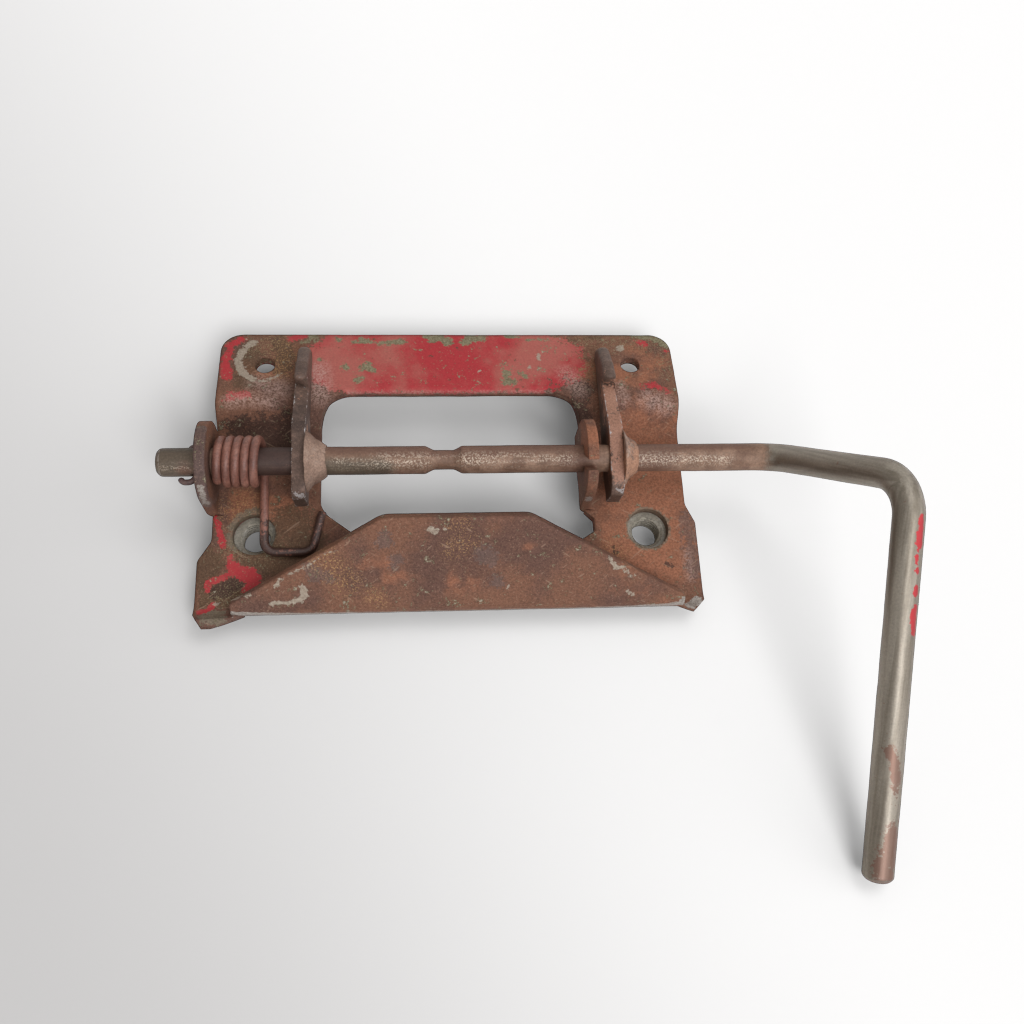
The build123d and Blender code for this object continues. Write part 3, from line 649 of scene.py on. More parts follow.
# Mounting plate
EAR_R = 11.6
LEFT_EAR_X = -70.5
RIGHT_EAR_X = 39.4
EARS_X = (LEFT_EAR_X, RIGHT_EAR_X)
BEARING_R = 5.2
BEARING_HALF = 3.0
HOLE_WALL_Z = 9.2
UNDERSIDE_PATCH = 21
FRONT_FOLD = (
    (-63.0, -24.6, 14.6), (-55.2, -24.8, 13.9), (-44.2, -25.0, 13.0), (-16.2, -25.0, 12.2),
    (32.8, -25.0, 12.3), (50.3, -25.0, 12.9), (61.4, -24.8, 13.8), (65.0, -24.4, 15.0),
)
PLATE_MARKS = {
    "red": [
        (12.8, 2.6, (-32.0, 55.0, 14.2), (26.0, 55.0, 14.2)),
        (9.0, 4.0, (24.0, 55.4, 14.0), (33.0, 55.4, 14.0)),
        (1.2, 1.0, (-49.8, 64.0, 12.3), (-44.9, 65.3, 12.0)),
        (1.4, 1.2, (-65.0, 63.6, 12.6), (-67.7, 60.8, 13.0), (-68.9, 54.5, 14.3),
         (-67.7, 49.0, 15.5)),
        (1.0, 2.0, (-67.7, 41.8, 17.0), (-61.4, 42.3, 16.9)),
        (0.7, 1.6, (60.7, 63.2, 12.5), (63.1, 62.0, 12.7)),
        (0.9, 0.8, (69.5, 59.2, 13.3)),
        (0.7, 1.9, (60.3, 44.9, 16.4), (63.5, 45.5, 16.2), (67.1, 42.6, 16.8)),
        (0.9, 0.7, (-69.7, 5.3, 11.0), (-68.4, 1.0, 11.0), (-67.2, -3.2, 11.0)),
        (0.9, 0.7, (-64.9, -6.5, 11.0), (-64.7, -9.1, 11.0)),
        (2.1, 0.8, (-63.9, -10.7, 11.0), (-61.4, -11.8, 11.0), (-58.0, -12.9, 11.0)),
        (0.9, 0.7, (-64.4, -11.7, 11.0), (-67.7, -13.2, 11.0), (-71.0, -14.7, 11.0)),
        (1.4, 0.8, (-57.4, -14.4, 11.0), (-59.8, -16.4, 11.0)),
        (0.7, 0.6, (-70.9, -16.7, 11.0)),
        (1.1, 0.8, (-72.0, -23.3, 12.1), (-69.2, -21.5, 11.3)),
    ],
    "faded": [
        (6.0, 6.0, (-38.0, 56.0, 14.0), (-33.0, 48.0, 15.6)),
        (5.0, 7.0, (20.0, 52.0, 14.8), (32.0, 56.0, 14.0)),
    ],
    "moss": [
        (0.9, 1.3, (-48.0, 65.0, 12.1), (-10.0, 65.0, 12.1)),
        (1.6, 1.8, (-10.0, 64.6, 12.2), (34.0, 64.6, 12.2)),
        (3.4, 3.4, (34.0, 63.0, 12.6), (56.0, 63.4, 12.5)),
        (2.4, 2.6, (56.0, 64.0, 12.4), (68.0, 60.0, 13.2), (69.0, 50.0, 15.2)),
        (3.0, 3.0, (40.0, 56.0, 14.0), (46.0, 50.0, 15.2)),
        (2.5, 3.0, (-55.0, 62.0, 12.7), (-62.0, 60.0, 13.2)),
        (3.0, 3.0, (-68.0, -20.0, 11.2), (-62.0, -17.0, 11.0)),
        (3.0, 3.5, (-66.0, -4.0, 11.0), (-52.0, -6.0, 11.0)),
    ],
    "chalk_and_rim_highlight": [
        # Painted highlight: a thin pale pink line along the rounded upper edge of the window; the
        # marks after it are pale pink specks of faded paint
        (0.45, 0.5, (-35.0, 43.4, 15.7), (31.0, 43.4, 15.7)),
        (1.5, 1.3, (52.6, 45.5, 16.2), (53.4, 40.0, 17.2)),
        (1.8, 1.6, (-66.5, 40.2, 17.2), (-61.4, 41.0, 17.0), (-54.0, 40.1, 17.2)),
        (3.2, 2.0, (-40.4, 51.4, 15.0), (-39.6, 42.8, 16.8)),
        (3.0, 1.6, (61.2, 40.5, 17.1), (66.3, 38.7, 16.2)),
        (2.4, 2.0, (36.0, 50.0, 15.0), (40.0, 44.0, 16.6)),
        (3.0, 3.0, (-58.0, 46.0, 16.0), (-52.0, 44.0, 16.4)),
        (0.6, 1.6, (69.5, -8.0, 11.0), (70.0, -16.0, 11.0)),
    ],
    "primer": [
        (1.3, 0.9, (-43.0, 65.3, 12.0), (-41.7, 63.7, 12.4)),
        (0.6, 0.6, (-46.1, 62.7, 12.6), (-44.3, 63.0, 12.5)),
        (0.8, 0.6, (-35.0, 63.7, 12.4), (-34.0, 63.5, 12.4)),
        (0.8, 0.6, (-30.5, 62.7, 12.6), (-24.0, 62.9, 12.5)),
        (0.9, 0.6, (-22.5, 62.4, 12.6), (-15.0, 62.8, 12.6)),
        (0.6, 0.6, (-28.5, 64.0, 12.3), (-24.5, 64.0, 12.3)),
        (1.2, 0.9, (-7.4, 64.8, 12.1), (0.2, 63.4, 12.4)),
        (1.2, 0.9, (-5.6, 63.7, 12.4), (-3.1, 64.7, 12.2), (-0.6, 62.4, 12.6)),
        (1.3, 0.9, (4.5, 62.8, 12.6), (7.1, 64.7, 12.2), (10.1, 64.1, 12.3)),
        (0.7, 0.6, (18.4, 65.2, 12.0), (22.4, 64.8, 12.1)),
        (0.6, 0.6, (24.4, 63.8, 12.4), (31.6, 64.0, 12.3)),
        (1.3, 0.9, (-32.4, 52.9, 14.7)),
        (1.2, 0.9, (-27.3, 52.0, 14.9), (-25.4, 53.8, 14.5), (-23.9, 51.6, 14.9)),
        (1.0, 0.8, (-28.7, 47.3, 15.9), (-27.5, 48.9, 15.5)),
        (0.7, 0.6, (-40.1, 56.0, 14.0)),
        (1.0, 0.7, (17.0, 54.4, 14.3)),
        (1.4, 0.9, (17.7, 50.6, 15.2), (16.8, 46.9, 15.9), (19.7, 46.6, 16.0)),
        (1.0, 0.7, (21.7, 50.3, 15.2), (22.9, 49.0, 15.5)),
        (1.1, 1.0, (60.0, 65.4, 12.0), (66.0, 64.6, 12.2), (70.0, 60.9, 13.0)),
    ],
    "pale": [
        (0.7, 0.5, (9.0, 51.3, 15.0)),
        (0.8, 0.6, (27.8, 57.3, 13.7), (27.9, 55.7, 14.1)),
        (0.6, 0.5, (24.9, 52.8, 14.7)),
        (1.1, 0.7, (54.6, 60.2, 13.1)),
        (0.6, 0.6, (-50.5, -18.6, 21.5), (-47.0, -16.3, 23.6), (-44.1, -15.3, 24.5)),
        (0.4, 0.5, (-44.1, -15.3, 24.5), (-41.2, -14.4, 25.3)),
        (0.2, 0.5, (-41.2, -14.4, 25.3), (-36.7, -11.7, 27.7), (-32.9, -11.0, 28.4)),
        (0.5, 0.5, (-68.3, -20.9, 11.2), (-62.6, -20.7, 15.8), (-57.7, -20.6, 19.7)),
        (0.9, 0.6, (-43.0, -19.1, 21.1), (-42.1, -21.1, 19.2), (-44.4, -22.3, 18.2)),
        (0.4, 0.5, (-44.6, -22.3, 18.2), (-47.5, -22.7, 17.9), (-50.3, -22.5, 18.0)),
        (0.7, 0.4, (-51.8, -22.9, 17.7)),
        (0.9, 0.8, (-7.2, -6.5, 32.4), (-6.0, -7.1, 31.9)),
        (0.5, 0.4, (-3.6, -6.9, 32.1)),
        (0.5, 0.8, (43.0, -13.5, 26.1), (44.9, -15.7, 24.1), (47.5, -16.8, 23.2),
         (51.1, -18.0, 22.1)),
        (0.6, 0.5, (49.1, -21.7, 18.7), (50.5, -22.6, 17.9)),
        (0.4, 0.4, (14.3, -19.9, 20.4)),
        (0.4, 0.4, (29.3, -21.2, 19.2)),
    ],
    "ochre": [
        (3.0, 3.4, (-37.3, -12.9, 26.7), (-33.2, -15.7, 24.1), (-30.5, -18.5, 21.6)),
        (2.0, 2.4, (-23.4, -21.5, 18.9), (-22.0, -22.7, 17.8)),
        (1.5, 2.0, (-1.5, -5.7, 33.2), (2.5, -5.0, 33.6)),
        (2.0, 3.0, (-1.3, -11.2, 28.2), (3.0, -9.5, 29.6)),
        (3.0, 4.0, (-66.0, 8.0, 11.0), (-60.0, 10.0, 11.0)),
        (3.0, 4.0, (-53.7, 62.7, 12.6), (-50.9, 57.6, 13.7), (-52.0, 51.4, 15.0)),
        (2.0, 3.0, (47.0, -6.5, 11.0), (49.0, -8.0, 11.0)),
    ],
    "olive": [
        (3.0, 3.0, (-53.7, 62.7, 12.6), (-50.9, 57.6, 13.7), (-52.0, 51.4, 15.0)),
        (0.9, 0.8, (33.7, 63.5, 12.4), (40.9, 63.8, 12.3)),
        (0.8, 0.8, (43.0, 64.1, 12.3), (48.3, 64.5, 12.2)),
        (4.0, 3.0, (-71.4, -7.4, 11.0), (-69.8, -18.8, 11.0), (-58.0, -18.8, 13.0)),
        (7.0, 5.0, (-58.0, -4.0, 11.0), (-48.0, -9.0, 11.0)),
        (6.0, 5.0, (-48.0, 4.0, 11.0), (-44.0, -4.0, 11.0)),
        (4.0, 3.0, (-62.0, 58.0, 13.6), (-62.0, 48.0, 15.6)),
    ],
    "dark_stain_and_shade": [
        (0.7, 0.5, (-17.2, 47.3, 15.9)),
        (0.7, 0.6, (-32.9, 44.0, 16.6), (-29.6, 44.8, 16.4)),
        (0.9, 0.7, (36.5, 60.2, 13.1)),
        (0.8, 0.7, (42.0, 59.2, 13.3)),
        (0.9, 0.6, (4.6, 46.0, 16.1), (8.3, 45.4, 16.3), (12.4, 44.5, 16.4)),
        (2.4, 1.0, (-68.0, -17.3, 11.0), (-62.8, -14.8, 11.0)),
        (0.9, 0.6, (63.0, -11.6, 11.0), (64.5, -12.4, 11.0)),
        (0.7, 0.6, (47.5, -5.6, 11.0), (48.1, -7.5, 11.0)),
        # Wide marks: painted shade on the plate behind the spring and the left lever, then a wide
        # darkening of the plate behind the right ear
        (6.0, 5.0, (-62.0, 31.5, 11.4), (-50.0, 31.5, 11.4)),
        (3.5, 3.0, (40.0, 33.0, 11.4), (40.0, 44.0, 16.0)),
    ],
    "blue": [
        (2.5, 2.4, (-20.1, -8.9, 30.3)),
        (2.3, 2.2, (-16.9, -13.6, 26.0)),
        (2.5, 2.4, (7.3, -12.4, 27.1), (9.8, -13.6, 26.0)),
        (2.3, 2.2, (10.9, -19.2, 21.0)),
        (2.5, 2.4, (-40.0, -15.5, 24.0), (-37.0, -17.0, 23.0)),
        (2.2, 2.6, (70.5, 3.0, 11.0), (71.5, -14.0, 11.0)),
    ],
    "warm": [
        (14.0, 11.0, (58.0, -6.0, 11.0), (60.0, 26.0, 11.0)),
        (0.8, 3.6, (-23.6, -14.3, 25.4), (-19.8, -14.3, 25.4)),
        (0.8, 3.6, (-18.9, -17.1, 22.8), (-15.5, -16.8, 23.2)),
        (0.8, 4.6, (-0.9, -18.6, 21.5), (7.4, -18.4, 21.7)),
        (-0.6, 4.6, (20.4, -11.0, 28.4)),
        (5.0, 6.0, (-62.0, 10.0, 11.0), (-50.0, 8.0, 11.0)),
        (4.0, 5.0, (40.0, 52.0, 15.0), (54.0, 50.0, 15.0)),
        (8.0, 8.0, (RIGHT_EAR_X, 20.0, 30.0)),
        (2.5, 6.0, (58.0, 60.0, 13.3), (66.0, 56.0, 14.0), (60.0, 48.0, 15.6)),
        (2.5, 3.0, (-62.0, 52.0, 15.0), (-54.0, 52.0, 15.0)),
    ],
    "steel": [
        (1.7, 0.35, *arc_about_bar(LEFT_EAR_X, EAR_R, 60, 240)),
    ],
    "grey": [
        (0.9, 1.2, *ring_about(-NUT_X, 0.0, 7.2, 60, 220)),
        (0.5, 0.5, *ring_about(NUT_X, 0.0, 6.5, 0, 360)),
        (1.7, 0.4, *ring_about(-NUT_X, 0.0, 6.1, 0, 360, HOLE_WALL_Z)),
        (1.7, 0.4, *ring_about(NUT_X, 0.0, 6.1, 0, 360, HOLE_WALL_Z)),
        (1.6, 1.2, (-71.0, -25.5, 13.6), (-66.0, -26.0, 14.0)),
        (1.2, 1.2, (-71.5, -23.4, 12.2), (-66.0, -23.4, 12.2)),
    ],
    "bare_and_highlight": [
        # Worn steel; the arcs on the ears' front rims and the line along the front fold also stand
        # in for painted highlights where these faces catch the lamps
        (1.0, 0.9, *arc_about_bar(LEFT_EAR_X, EAR_R, 150, 200)),
        (1.3, 1.0, *arc_about_bar(RIGHT_EAR_X, EAR_R, 190, 225)),
        (1.5, 0.7, (66.0, -23.6, 15.5), (68.0, -25.0, 13.4), (71.4, -23.0, 12.2)),
        (1.2, 0.5, *FRONT_FOLD),
    ],
}
WASHER_PLACE = (-57.4, 55.4)
WASHER_OUT = 8.7
WASHER_IN = 6.4
WASHER_FROM = 100
WASHER_THINS = 225
WASHER_TO = 335


def washer_mark(points):
    """Pale ring that a washer left about the upper left hole, open towards the lever."""
    across = points[:, 0] - WASHER_PLACE[0]
    along = points[:, 1] - WASHER_PLACE[1]
    reach = np.hypot(across, along)
    middle = (WASHER_OUT + WASHER_IN) / 2
    angle = np.degrees(np.arctan2(along, across)) % 360
    thin = np.clip((angle - WASHER_THINS) / 60, 0, 1)
    ring = 0.5 + ((WASHER_OUT - WASHER_IN) / 2 * (1 - 0.6 * thin) - np.abs(reach - middle)) / 1.2
    kept = np.clip((angle - WASHER_FROM) / 15, 0, 1) * np.clip((WASHER_TO - angle) / 20, 0, 1)
    return np.clip(ring, 0, 1) * kept * (points[:, 2] > PLATE_TOP)


def paint_plate(piece):
    """Marks on the plate's upper side, and what is left of the paint on its underside."""
    points, normals = points_of(piece)
    upper = normals[:, 2] > -0.4
    below = np.array([noise.noise(Vector(p) / UNDERSIDE_PATCH) for p in points])
    for finish, marks in PLATE_MARKS.items():
        amount = finish_amount(points, marks) * upper
        if finish == "pale":
            amount = np.maximum(amount, washer_mark(points) * upper)
        if finish == "red":
            facing = np.clip((normals[:, 2] + 0.1) / 0.4, 0, 1)
            amount = np.where(upper, amount * facing, np.clip(0.4 + 0.9 * below, 0, 1))
        write_amount(piece, finish, amount)


def on_window_edge(p):
    """Upper edge of the window towards the back band."""
    return abs(p.x) < 38 and 42.6 < p.y < 46 and p.z > 15


def in_bore(p):
    """Wall of an ear's bore, which stays true so that the bar can turn."""
    return math.hypot(p.y - AXIS_Y, p.z - AXIS_Z) < BEARING_R


bm = merged_copy("mounting_plate")
round_edges(bm, 1.7, sharp=40, segments=4, within=on_window_edge, marked=0, clamp=False)
round_edges(bm, 0.6, segments=3)
refine(bm, 0.95)
for depth, size, seed in ((0.10, 14, 3), (0.05, 3.5, 7)):
    weather(bm, depth, size, seed, keep=in_bore)
keep_inside(bm, "mounting_plate")
plate = new_piece(bm, "pressed_plate", PLATE, "bracket")
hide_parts("mounting_plate")
paint_plate(plate)

# Crank bar
NECK_X = -3.0
NECK_REACH = 7.0
BAR_LINE = (
    (-84.3, AXIS_Y, AXIS_Z), (96.0, AXIS_Y, AXIS_Z), (113.8, -7.2, 68.5), (106.7, -102.3, 25.9),
)
BAR_MARKS = {
    "crank": [(7.5, 3.0, (99.0, AXIS_Y, AXIS_Z), (102.0, 12.0, 35.0), *BAR_LINE[2:])],
    # Painted highlight band along the bar's upper front, where the glints are drawn
    "gleam": [
        (1.7, 1.9, (-33.0, 16.0, 27.3), (33.0, 16.0, 27.3)),
        (1.4, 1.9, (55.0, 15.6, 27.2), (80.0, 15.6, 27.2)),
        (0.3, 1.6, (-83.0, 15.0, 26.5), (-75.0, 15.0, 26.5)),
    ],
    "purple": [
        (6.0, 2.5, (-56.0, AXIS_Y, AXIS_Z), (-47.0, AXIS_Y, AXIS_Z)),
        (2.0, 2.4, (-84.0, 20.4, 26.2), (-74.0, 20.4, 26.2)),
    ],
    "olive": [
        (6.0, 2.5, (-86.0, AXIS_Y, AXIS_Z), (-76.0, AXIS_Y, AXIS_Z)),
        (4.0, 3.0, (-36.0, 14.0, 25.0), (-22.0, 14.0, 25.0)),
    ],
    "rust_and_shade": [
        (3.6, 2.4, (-34.0, 20.8, 26.4), (36.0, 20.8, 26.4)),
        (5.0, 3.0, (34.0, AXIS_Y, AXIS_Z), (38.0, AXIS_Y, AXIS_Z)),
        (2.0, 2.4, (-76.0, 15.0, 25.5)),
        (6.0, 4.0, (53.0, AXIS_Y, AXIS_Z), (60.0, AXIS_Y, AXIS_Z)),
        (3.5, 3.0, (60.0, 21.0, 26.0), (84.0, 21.0, 26.0)),
    ],
    "stain": [
        (1.5, 1.4, (107.7, -71.6, 43.8), (109.0, -76.1, 42.0), (109.1, -80.7, 39.9)),
        (3.2, 2.4, (109.0, -92.0, 34.9), (107.5, -101.5, 29.0)),
        (5.0, 2.0, (106.7, -104.5, 25.0)),
    ],
    "red": [
        (1.0, 0.6, (114.6, -17.2, 67.4), (114.2, -24.0, 65.0)),
        (0.7, 0.5, (113.6, -26.4, 64.2), (113.6, -27.8, 63.4)),
        (0.7, 0.5, (113.9, -30.0, 62.3)),
        (1.0, 0.6, (113.6, -33.4, 60.8), (113.6, -35.3, 59.8)),
        (1.2, 0.6, (113.4, -38.6, 58.4), (113.3, -44.1, 55.7)),
    ],
}


def lay_along_bar(piece):
    """Writes a place that runs slowly along the bar, so that its grain is drawn out lengthwise."""
    points, _ = points_of(piece)
    best = np.full(len(points), np.inf)
    lay = np.zeros((len(points), 3))
    done = 0.0
    for start, end in zip(np.array(BAR_LINE[:-1]), np.array(BAR_LINE[1:])):
        run = end - start
        length = np.linalg.norm(run)
        share = np.clip((points - start) @ run / length**2, 0, 1)
        offset = points - start - np.outer(share, run)
        gap = np.linalg.norm(offset, axis=1)
        nearer = gap < best
        place = offset + np.outer(done + share * length, (0.06, 0.02, 0.02))
        lay[nearer] = place[nearer]
        best = np.minimum(best, gap)
        done += length
    layer = piece.data.attributes.new("lay", "FLOAT_VECTOR", "POINT")
    layer.data.foreach_set("vector", (lay * MM).astype(np.float32).ravel())


def on_neck(p):
    """Flattened stretch in the middle of the bar."""
    return abs(p.x - NECK_X) < NECK_REACH


def at_bar_end(p):
    return p.x < -80 or p.y < -95


def in_ear(p):
    """Stretch of the bar that turns in an ear and stays true."""
    return min(abs(p.x - x) for x in EARS_X) < BEARING_HALF


bm = merged_copy("crank_shaft")
round_edges(bm, 0.9, sharp=14, segments=3, within=on_neck, marked=0)
round_edges(bm, 0.4, sharp=30, segments=2, within=at_bar_end)
refine(bm, 1.3)
for depth, size, seed in ((0.07, 9, 11), (0.035, 2.5, 5)):
    weather(bm, depth, size, seed, keep=in_ear)
keep_inside(bm, "crank_shaft")
bar = new_piece(bm, "cranked_bar", BAR, "shaft")
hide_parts("crank_shaft")
paint(bar, BAR_MARKS)
lay_along_bar(bar)

# Hook levers and their welds
BARB_Y = 41.6
BARB_Z = 29.2
# Worn metal on the barbs' corners and the tails' ends; these marks also paint the highlights there
LEVER_MARKS = {
    "left": {
        "bare_and_highlight": [
            (0.6, 0.9, (-46.0, BARB_Y, BARB_Z), (-44.6, BARB_Y, BARB_Z)),
            (0.9, 1.2, (-45.6, 6.6, 26.4), (-43.4, 6.4, 25.0)),
        ],
        "rust_and_shade": [(2.0, 2.0, (-42.3, 12.0, 20.0), (-42.3, 26.0, 24.0))],
    },
    "right": {
        "bare_and_highlight": [
            (0.9, 0.8, (48.6, BARB_Y, BARB_Z), (49.2, BARB_Y, BARB_Z)),
            (0.4, 1.2, (46.6, 6.6, 26.4), (48.8, 6.4, 25.0)),
        ],
        "rust_and_shade": [(3.6, 4.0, (47.6, 39.0, 25.0), (47.6, 24.0, 30.0), (48.4, 12.0, 27.0))],
    },
}
# The weld mark lies at the right lever, and the left weld is out of its reach
WELD_MARKS = {"rust_and_shade": [(5.0, 4.0, (50.0, 14.0, 27.0), (54.0, 14.0, 27.0))]}


def on_nose(p):
    """Hooked nose of a lever, ahead of its barb."""
    return p.y > 41.5 and p.z > 19


def at_lever_end(p):
    return p.y > 50 or p.y < 10.5


for side, seed in (("left", 2), ("right", 9)):
    bm = merged_copy(side + "_hook_lever")
    round_edges(bm, 1.6, sharp=30, segments=5, within=on_nose, marked=0, clamp=False)
    round_edges(bm, 0.6, sharp=30, segments=3)
    refine(bm, 0.9)
    wear_down(bm, 7, at_lever_end)
    wear_down(bm, 3)
    weather(bm, 0.16, 6, seed)
    weather(bm, 0.06, 2, seed + 4)
    keep_inside(bm, side + "_hook_lever")
    lever = new_piece(bm, side + "_barbed_lever", LEVER, "shaft")
    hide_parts(side + "_hook_lever")
    paint(lever, LEVER_MARKS[side])
    bm = merged_copy(side + "_hook_weld")
    refine(bm, 0.8)
    weather(bm, 0.4, 3.2, seed)
    weather(bm, 0.14, 1.1, seed + 3)
    weld = new_piece(bm, side + "_weld_bead", WELD, "shaft")
    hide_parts(side + "_hook_weld")
    paint(weld, WELD_MARKS)

# Weld nuts with cut threads
NUT_HEIGHT = 8.0
NUT_HALF = 8.5
BORE_SIDES = 44
SHARP_THREAD = 30
BORE_R = 4.25
BORE_LEAD = 0.9
THREAD_DEPTH = 0.75
THREAD_PITCH = 1.5
THREAD_COUNT = 4
FIRST_THREAD = (NUT_HEIGHT - THREAD_COUNT * THREAD_PITCH) / 2


def threaded_nut(x):
    """Hexagon nut with thread grooves in its bore."""
    bm = bmesh.new()
    place = Matrix.Translation(mm(x, 0, 0)) @ Matrix.Rotation(math.pi / 2, 4, "Z")
    corners = bmesh.ops.create_circle(
        bm, segments=6, radius=NUT_HALF / math.cos(math.pi / 6) * MM, matrix=place
    )["verts"]
    lower = list({e for v in corners for e in v.link_edges})
    upper = straight(bm, lower, mm(0, 0, NUT_HEIGHT))
    profile = [(BORE_R + BORE_LEAD, 0.0), (BORE_R, FIRST_THREAD)]
    for n in range(THREAD_COUNT):
        foot = FIRST_THREAD + n * THREAD_PITCH
        profile += [(BORE_R + THREAD_DEPTH, foot + THREAD_PITCH / 2), (BORE_R, foot + THREAD_PITCH)]
    profile.append((BORE_R + BORE_LEAD, NUT_HEIGHT))
    verts = [bm.verts.new(mm(x + r, 0, h)) for r, h in profile]
    edges = [bm.edges.new(pair) for pair in zip(verts, verts[1:])]
    bmesh.ops.spin(
        bm, geom=verts + edges, cent=mm(x, 0, 0), axis=Z_AXIS, angle=2 * math.pi,
        steps=BORE_SIDES, use_merge=True,
    )
    for ring, level in ((lower, 0.0), (upper, NUT_HEIGHT)):
        rim = [
            e for e in bm.edges if e.is_boundary and e not in ring
            and all(abs(v.co.z - level * MM) < 1e-7 for v in e.verts)
        ]
        bmesh.ops.triangle_fill(bm, use_beauty=True, edges=rim + ring)
    closed(bm)
    bm.faces.layers.int.new("rounded")
    round_edges(bm, 0.5, sharp=25, within=lambda p: math.hypot(p.x - x, p.y) > NUT_HALF - 0.1)
    for edge in bm.edges:
        edge.smooth = edge.calc_face_angle() < math.radians(SHARP_THREAD)
    return bm


for side, x in (("left", -NUT_X), ("right", NUT_X)):
    nut = new_piece(threaded_nut(x), side + "_threaded_nut", NUT, "bracket")
    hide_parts(side + "_weld_nut")
    roots = [FIRST_THREAD + (n + 0.5) * THREAD_PITCH for n in range(THREAD_COUNT)]
    # Painted highlight on the thread crests and painted shade in the thread roots, so the threads
    # show as lit and shaded rings
    paint(nut, {
        "bare_and_highlight": [
            (0.05, 0.25, *ring_about(x, 0, BORE_R, 0, 360, level, BORE_SIDES + 1))
            for level in (FIRST_THREAD, *(root + THREAD_PITCH / 2 for root in roots))
        ],
        "rust_and_shade": [
            (0.7, 1.0, *ring_about(x, 0, BORE_R + THREAD_DEPTH, 0, 360, root, BORE_SIDES + 1))
            for root in roots
        ],
    })

# Return spring
WIRE_R = 1.26
COIL_R = 6.3
COIL_START_X = -67.1
COIL_PITCH = 2.52
COIL_TURNS = 4.72
COIL_EXIT_X = COIL_START_X + COIL_PITCH * COIL_TURNS
EXIT_TURN = -78.81
FOOT_FRONT = -6.1
FOOT_Z = 12.38
FOOT_TIP_X = -40.6
FOOT_BACK = 12.8
FOOT_BEND = 3.6
FOOT_LEAN = 12.0
END_BEND = 2.1
COIL_STEPS = 130


def coil_spring():
    """Close-wound torsion spring: foot, leg, coil and the end that goes into the bar."""
    bm = bmesh.new()
    exit_turn = math.radians(EXIT_TURN)
    exit_point = mm(
        COIL_EXIT_X,
        AXIS_Y + COIL_R * math.cos(exit_turn),
        AXIS_Z + COIL_R * math.sin(exit_turn),
    )
    corner = mm(COIL_EXIT_X, FOOT_FRONT, FOOT_Z)
    leg = (corner - exit_point).normalized()
    side = X_AXIS
    square = leg.cross(side)
    ring = wire_ring(bm, exit_point, leg, WIRE_R)
    coil_ring = ring
    ring = straight(bm, ring, corner - leg * FOOT_BEND * MM - exit_point, 12)
    ring = turned(bm, ring, corner + (side - leg) * FOOT_BEND * MM, square, 90, 10)
    run = FOOT_TIP_X - COIL_EXIT_X - 2 * FOOT_BEND
    ring = straight(bm, ring, side * run * MM, 4)
    hub = mm(FOOT_TIP_X - FOOT_BEND, FOOT_FRONT, FOOT_Z) - leg * FOOT_BEND * MM
    ring = turned(bm, ring, hub, square, 90 - FOOT_LEAN, 10)
    lean = math.radians(FOOT_LEAN)
    ring = straight(bm, ring, mm(math.sin(lean), math.cos(lean), 0) * (FOOT_BACK - FOOT_BEND), 6)
    cap(bm, ring)
    around = 360 * COIL_TURNS - math.degrees(END_BEND / COIL_R)
    axis_point = mm(0, AXIS_Y, AXIS_Z)
    lead = mm(-COIL_PITCH * COIL_TURNS, 0, 0)
    ring = turned(bm, coil_ring, axis_point, X_AXIS, around, COIL_STEPS, lead)
    end = math.radians(EXIT_TURN + around)
    outward = Vector((0, math.cos(end), math.sin(end)))
    hub = axis_point + outward * (COIL_R - END_BEND) * MM
    ring = turned(bm, ring, hub, X_AXIS, 90, 8)
    cap(bm, ring)
    closed(bm)
    weather(bm, 0.05, 4, 1)
    return bm


spring = new_piece(coil_spring(), "wound_spring", SPRING, None)
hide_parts("return_spring")
# Painted shade darkens the U-shaped foot of the spring
paint(spring, {
    "rust_and_shade": [
        (2.6, 2.2, (COIL_EXIT_X, 4.0, FOOT_Z), (COIL_EXIT_X, FOOT_FRONT, FOOT_Z),
         (FOOT_TIP_X, FOOT_FRONT, FOOT_Z), (FOOT_TIP_X + 1.5, 8.0, FOOT_Z)),
    ],
})
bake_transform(spring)

# Cotter pin
PIN_R = 0.78
PIN_X = -73.3
PIN_EYE_R = 0.95
PIN_FRONT = 4.0
PIN_BACK = 3.6
PIN_BEND = 2.2
PIN_RUN = 0.6
PIN_HOOK = 1.4


def bent_cotter():
    """Cotter with its eye behind the bar and its leg hooked along the front of it."""
    bm = bmesh.new()
    middle = wire_ring(bm, mm(PIN_X, AXIS_Y, AXIS_Z), -Y_AXIS, PIN_R, 12)
    ring = straight(bm, middle, mm(0, -PIN_FRONT, 0), 3)
    ring = turned(bm, ring, mm(PIN_X - PIN_BEND, AXIS_Y - PIN_FRONT, AXIS_Z), Z_AXIS, -90, 8)
    ring = straight(bm, ring, mm(-PIN_RUN, 0, 0), 2)
    hub = mm(PIN_X - PIN_BEND - PIN_RUN, AXIS_Y - PIN_FRONT - PIN_BEND + PIN_HOOK, AXIS_Z)
    ring = turned(bm, ring, hub, Z_AXIS, -70, 8)
    cap(bm, ring, 0.3)
    ring = straight(bm, middle, mm(0, PIN_BACK, 0), 3)
    ring = turned(bm, ring, mm(PIN_X - PIN_EYE_R, AXIS_Y + PIN_BACK, AXIS_Z), Z_AXIS, 250, 16)
    cap(bm, ring, 0.3)
    closed(bm)
    return bm


pin = new_piece(bent_cotter(), "bent_cotter", PIN, "shaft")
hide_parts("cotter_pin")

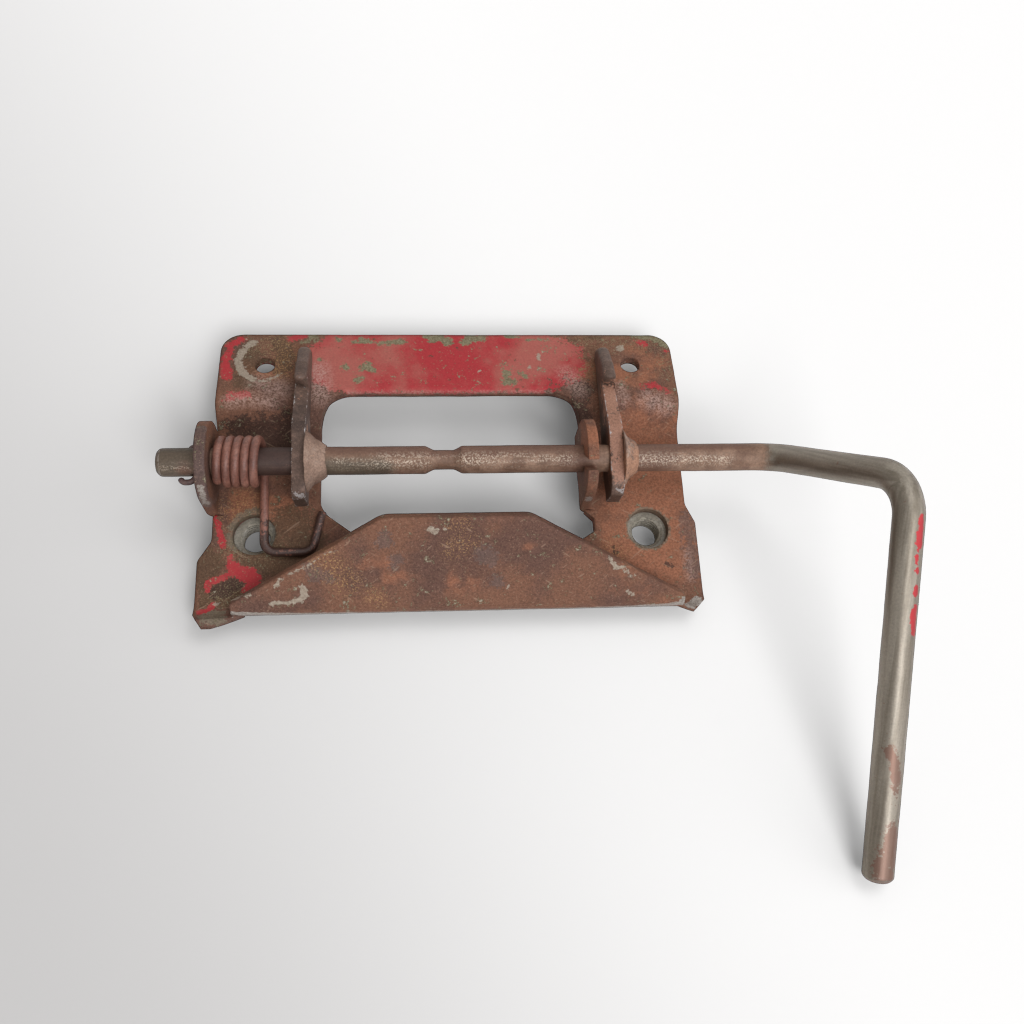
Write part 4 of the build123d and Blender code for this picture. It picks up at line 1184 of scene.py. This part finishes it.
# Table, light and camera: the table's reach and the lamps are in metres
TABLE_HALF = 3.0
TABLE_FALL = 13.2
SHEET_RISE = 5.0
SHEET_BEND = 50.0
BEND_FROM = 6.0
NUT_REST_Y = -8.0
down = math.radians(TABLE_FALL)
up = math.radians(SHEET_RISE)
crease = mm(0, BEND_FROM, -(BEND_FROM - NUT_REST_Y) * math.tan(down))
fall = Vector((0, math.cos(down), -math.sin(down)))
hub = crease + Vector((0, math.sin(down), math.cos(down))) * SHEET_BEND * MM
bm = bmesh.new()
near = crease - fall * TABLE_HALF
ends = [bm.verts.new(near + X_AXIS * side) for side in (-TABLE_HALF, TABLE_HALF)]
edge = [bm.edges.new(ends)]
edge = straight(bm, edge, fall * TABLE_HALF)
edge = turned(bm, edge, hub, X_AXIS, TABLE_FALL + SHEET_RISE, 24)
straight(bm, edge, Vector((0, math.cos(up), math.sin(up))) * TABLE_HALF)
closed(bm)
bmesh.ops.reverse_faces(bm, faces=bm.faces)
mesh = bpy.data.meshes.new("table")
bm.to_mesh(mesh)
bm.free()
table = bpy.data.objects.new("table", mesh)
bpy.context.scene.collection.objects.link(table)
table_finish, tree, shader = new_material("pale_table")
shader.inputs["Base Color"].default_value = (0.86, 0.85, 0.84, 1)
shader.inputs["Roughness"].default_value = 0.7
mesh.materials.append(table_finish)
for face in mesh.polygons:
    face.use_smooth = True
table.is_shadow_catcher = True

CAMERA_PLACE = mm(-10.5, -98.5, 300.2)
CAMERA_RIGHT = Vector((0.9958, -0.0441, 0.0804)).normalized()
CAMERA_UP = Vector((0.0141, 0.9401, 0.3405))
CAMERA_UP = (CAMERA_UP - CAMERA_RIGHT * CAMERA_UP.dot(CAMERA_RIGHT)).normalized()

AMBIENT = 0.38
AMBIENT_TINT = (1.05, 0.97, 0.90)
LAMP_TINT = (0.97, 0.99, 1.04)
WHITE = (1.0, 0.995, 0.99)
SHADED = (0.60, 0.59, 0.585)
LIGHT_SIDE = (CAMERA_RIGHT * 0.9 + CAMERA_UP * 0.45).normalized()
world = bpy.data.worlds.new("studio")
bpy.context.scene.world = world
world.use_nodes = True
tree = world.node_tree
tree.nodes.clear()
way = add_node(tree, "ShaderNodeTexCoord").outputs["Generated"]
side = add_node(tree, "ShaderNodeVectorMath", {0: way, 1: LIGHT_SIDE}, operation="DOT_PRODUCT")
shown = mix(tree, step_between(tree, side.outputs["Value"], -0.62, 0.16), SHADED, WHITE)
path = tree.nodes.new("ShaderNodeLightPath")
seen = maths(tree, "MAXIMUM", path.outputs["Is Camera Ray"], path.outputs["Is Glossy Ray"])
seen = maths(tree, "MAXIMUM", seen, path.outputs["Is Transmission Ray"])
colour = mix(tree, seen, [AMBIENT * c for c in AMBIENT_TINT], shown)
sky = add_node(tree, "ShaderNodeBackground", {"Color": colour, "Strength": 1.0})
end = tree.nodes.new("ShaderNodeOutputWorld")
tree.links.new(sky.outputs["Background"], end.inputs["Surface"])


def soft_lamp(name, place, size, power):
    """Square lamp that faces the latch."""
    data = bpy.data.lights.new(name, "AREA")
    data.color = LAMP_TINT
    data.size = size
    data.energy = power
    lamp = bpy.data.objects.new(name, data)
    lamp.location = place
    lamp.rotation_euler = (-Vector(place)).to_track_quat("-Z", "Y").to_euler()
    bpy.context.scene.collection.objects.link(lamp)


soft_lamp("window_light", (0.26, -0.68, 0.95), 0.6, 7.8)
soft_lamp("side_light", (0.95, -0.15, 0.60), 0.8, 2.6)
soft_lamp("ceiling_light", (0.35, 0.30, 1.05), 0.6, 2.6)

data = bpy.data.cameras.new("photo_camera")
data.sensor_width = 36.0
data.lens = 36.07
data.clip_start = 0.01
camera = bpy.data.objects.new("photo_camera", data)
turn = Matrix((CAMERA_RIGHT, CAMERA_UP, CAMERA_RIGHT.cross(CAMERA_UP))).transposed().to_4x4()
camera.matrix_world = Matrix.Translation(CAMERA_PLACE) @ turn
bpy.context.scene.collection.objects.link(camera)
bpy.context.scene.camera = camera
bpy.context.scene.view_settings.view_transform = "Standard"
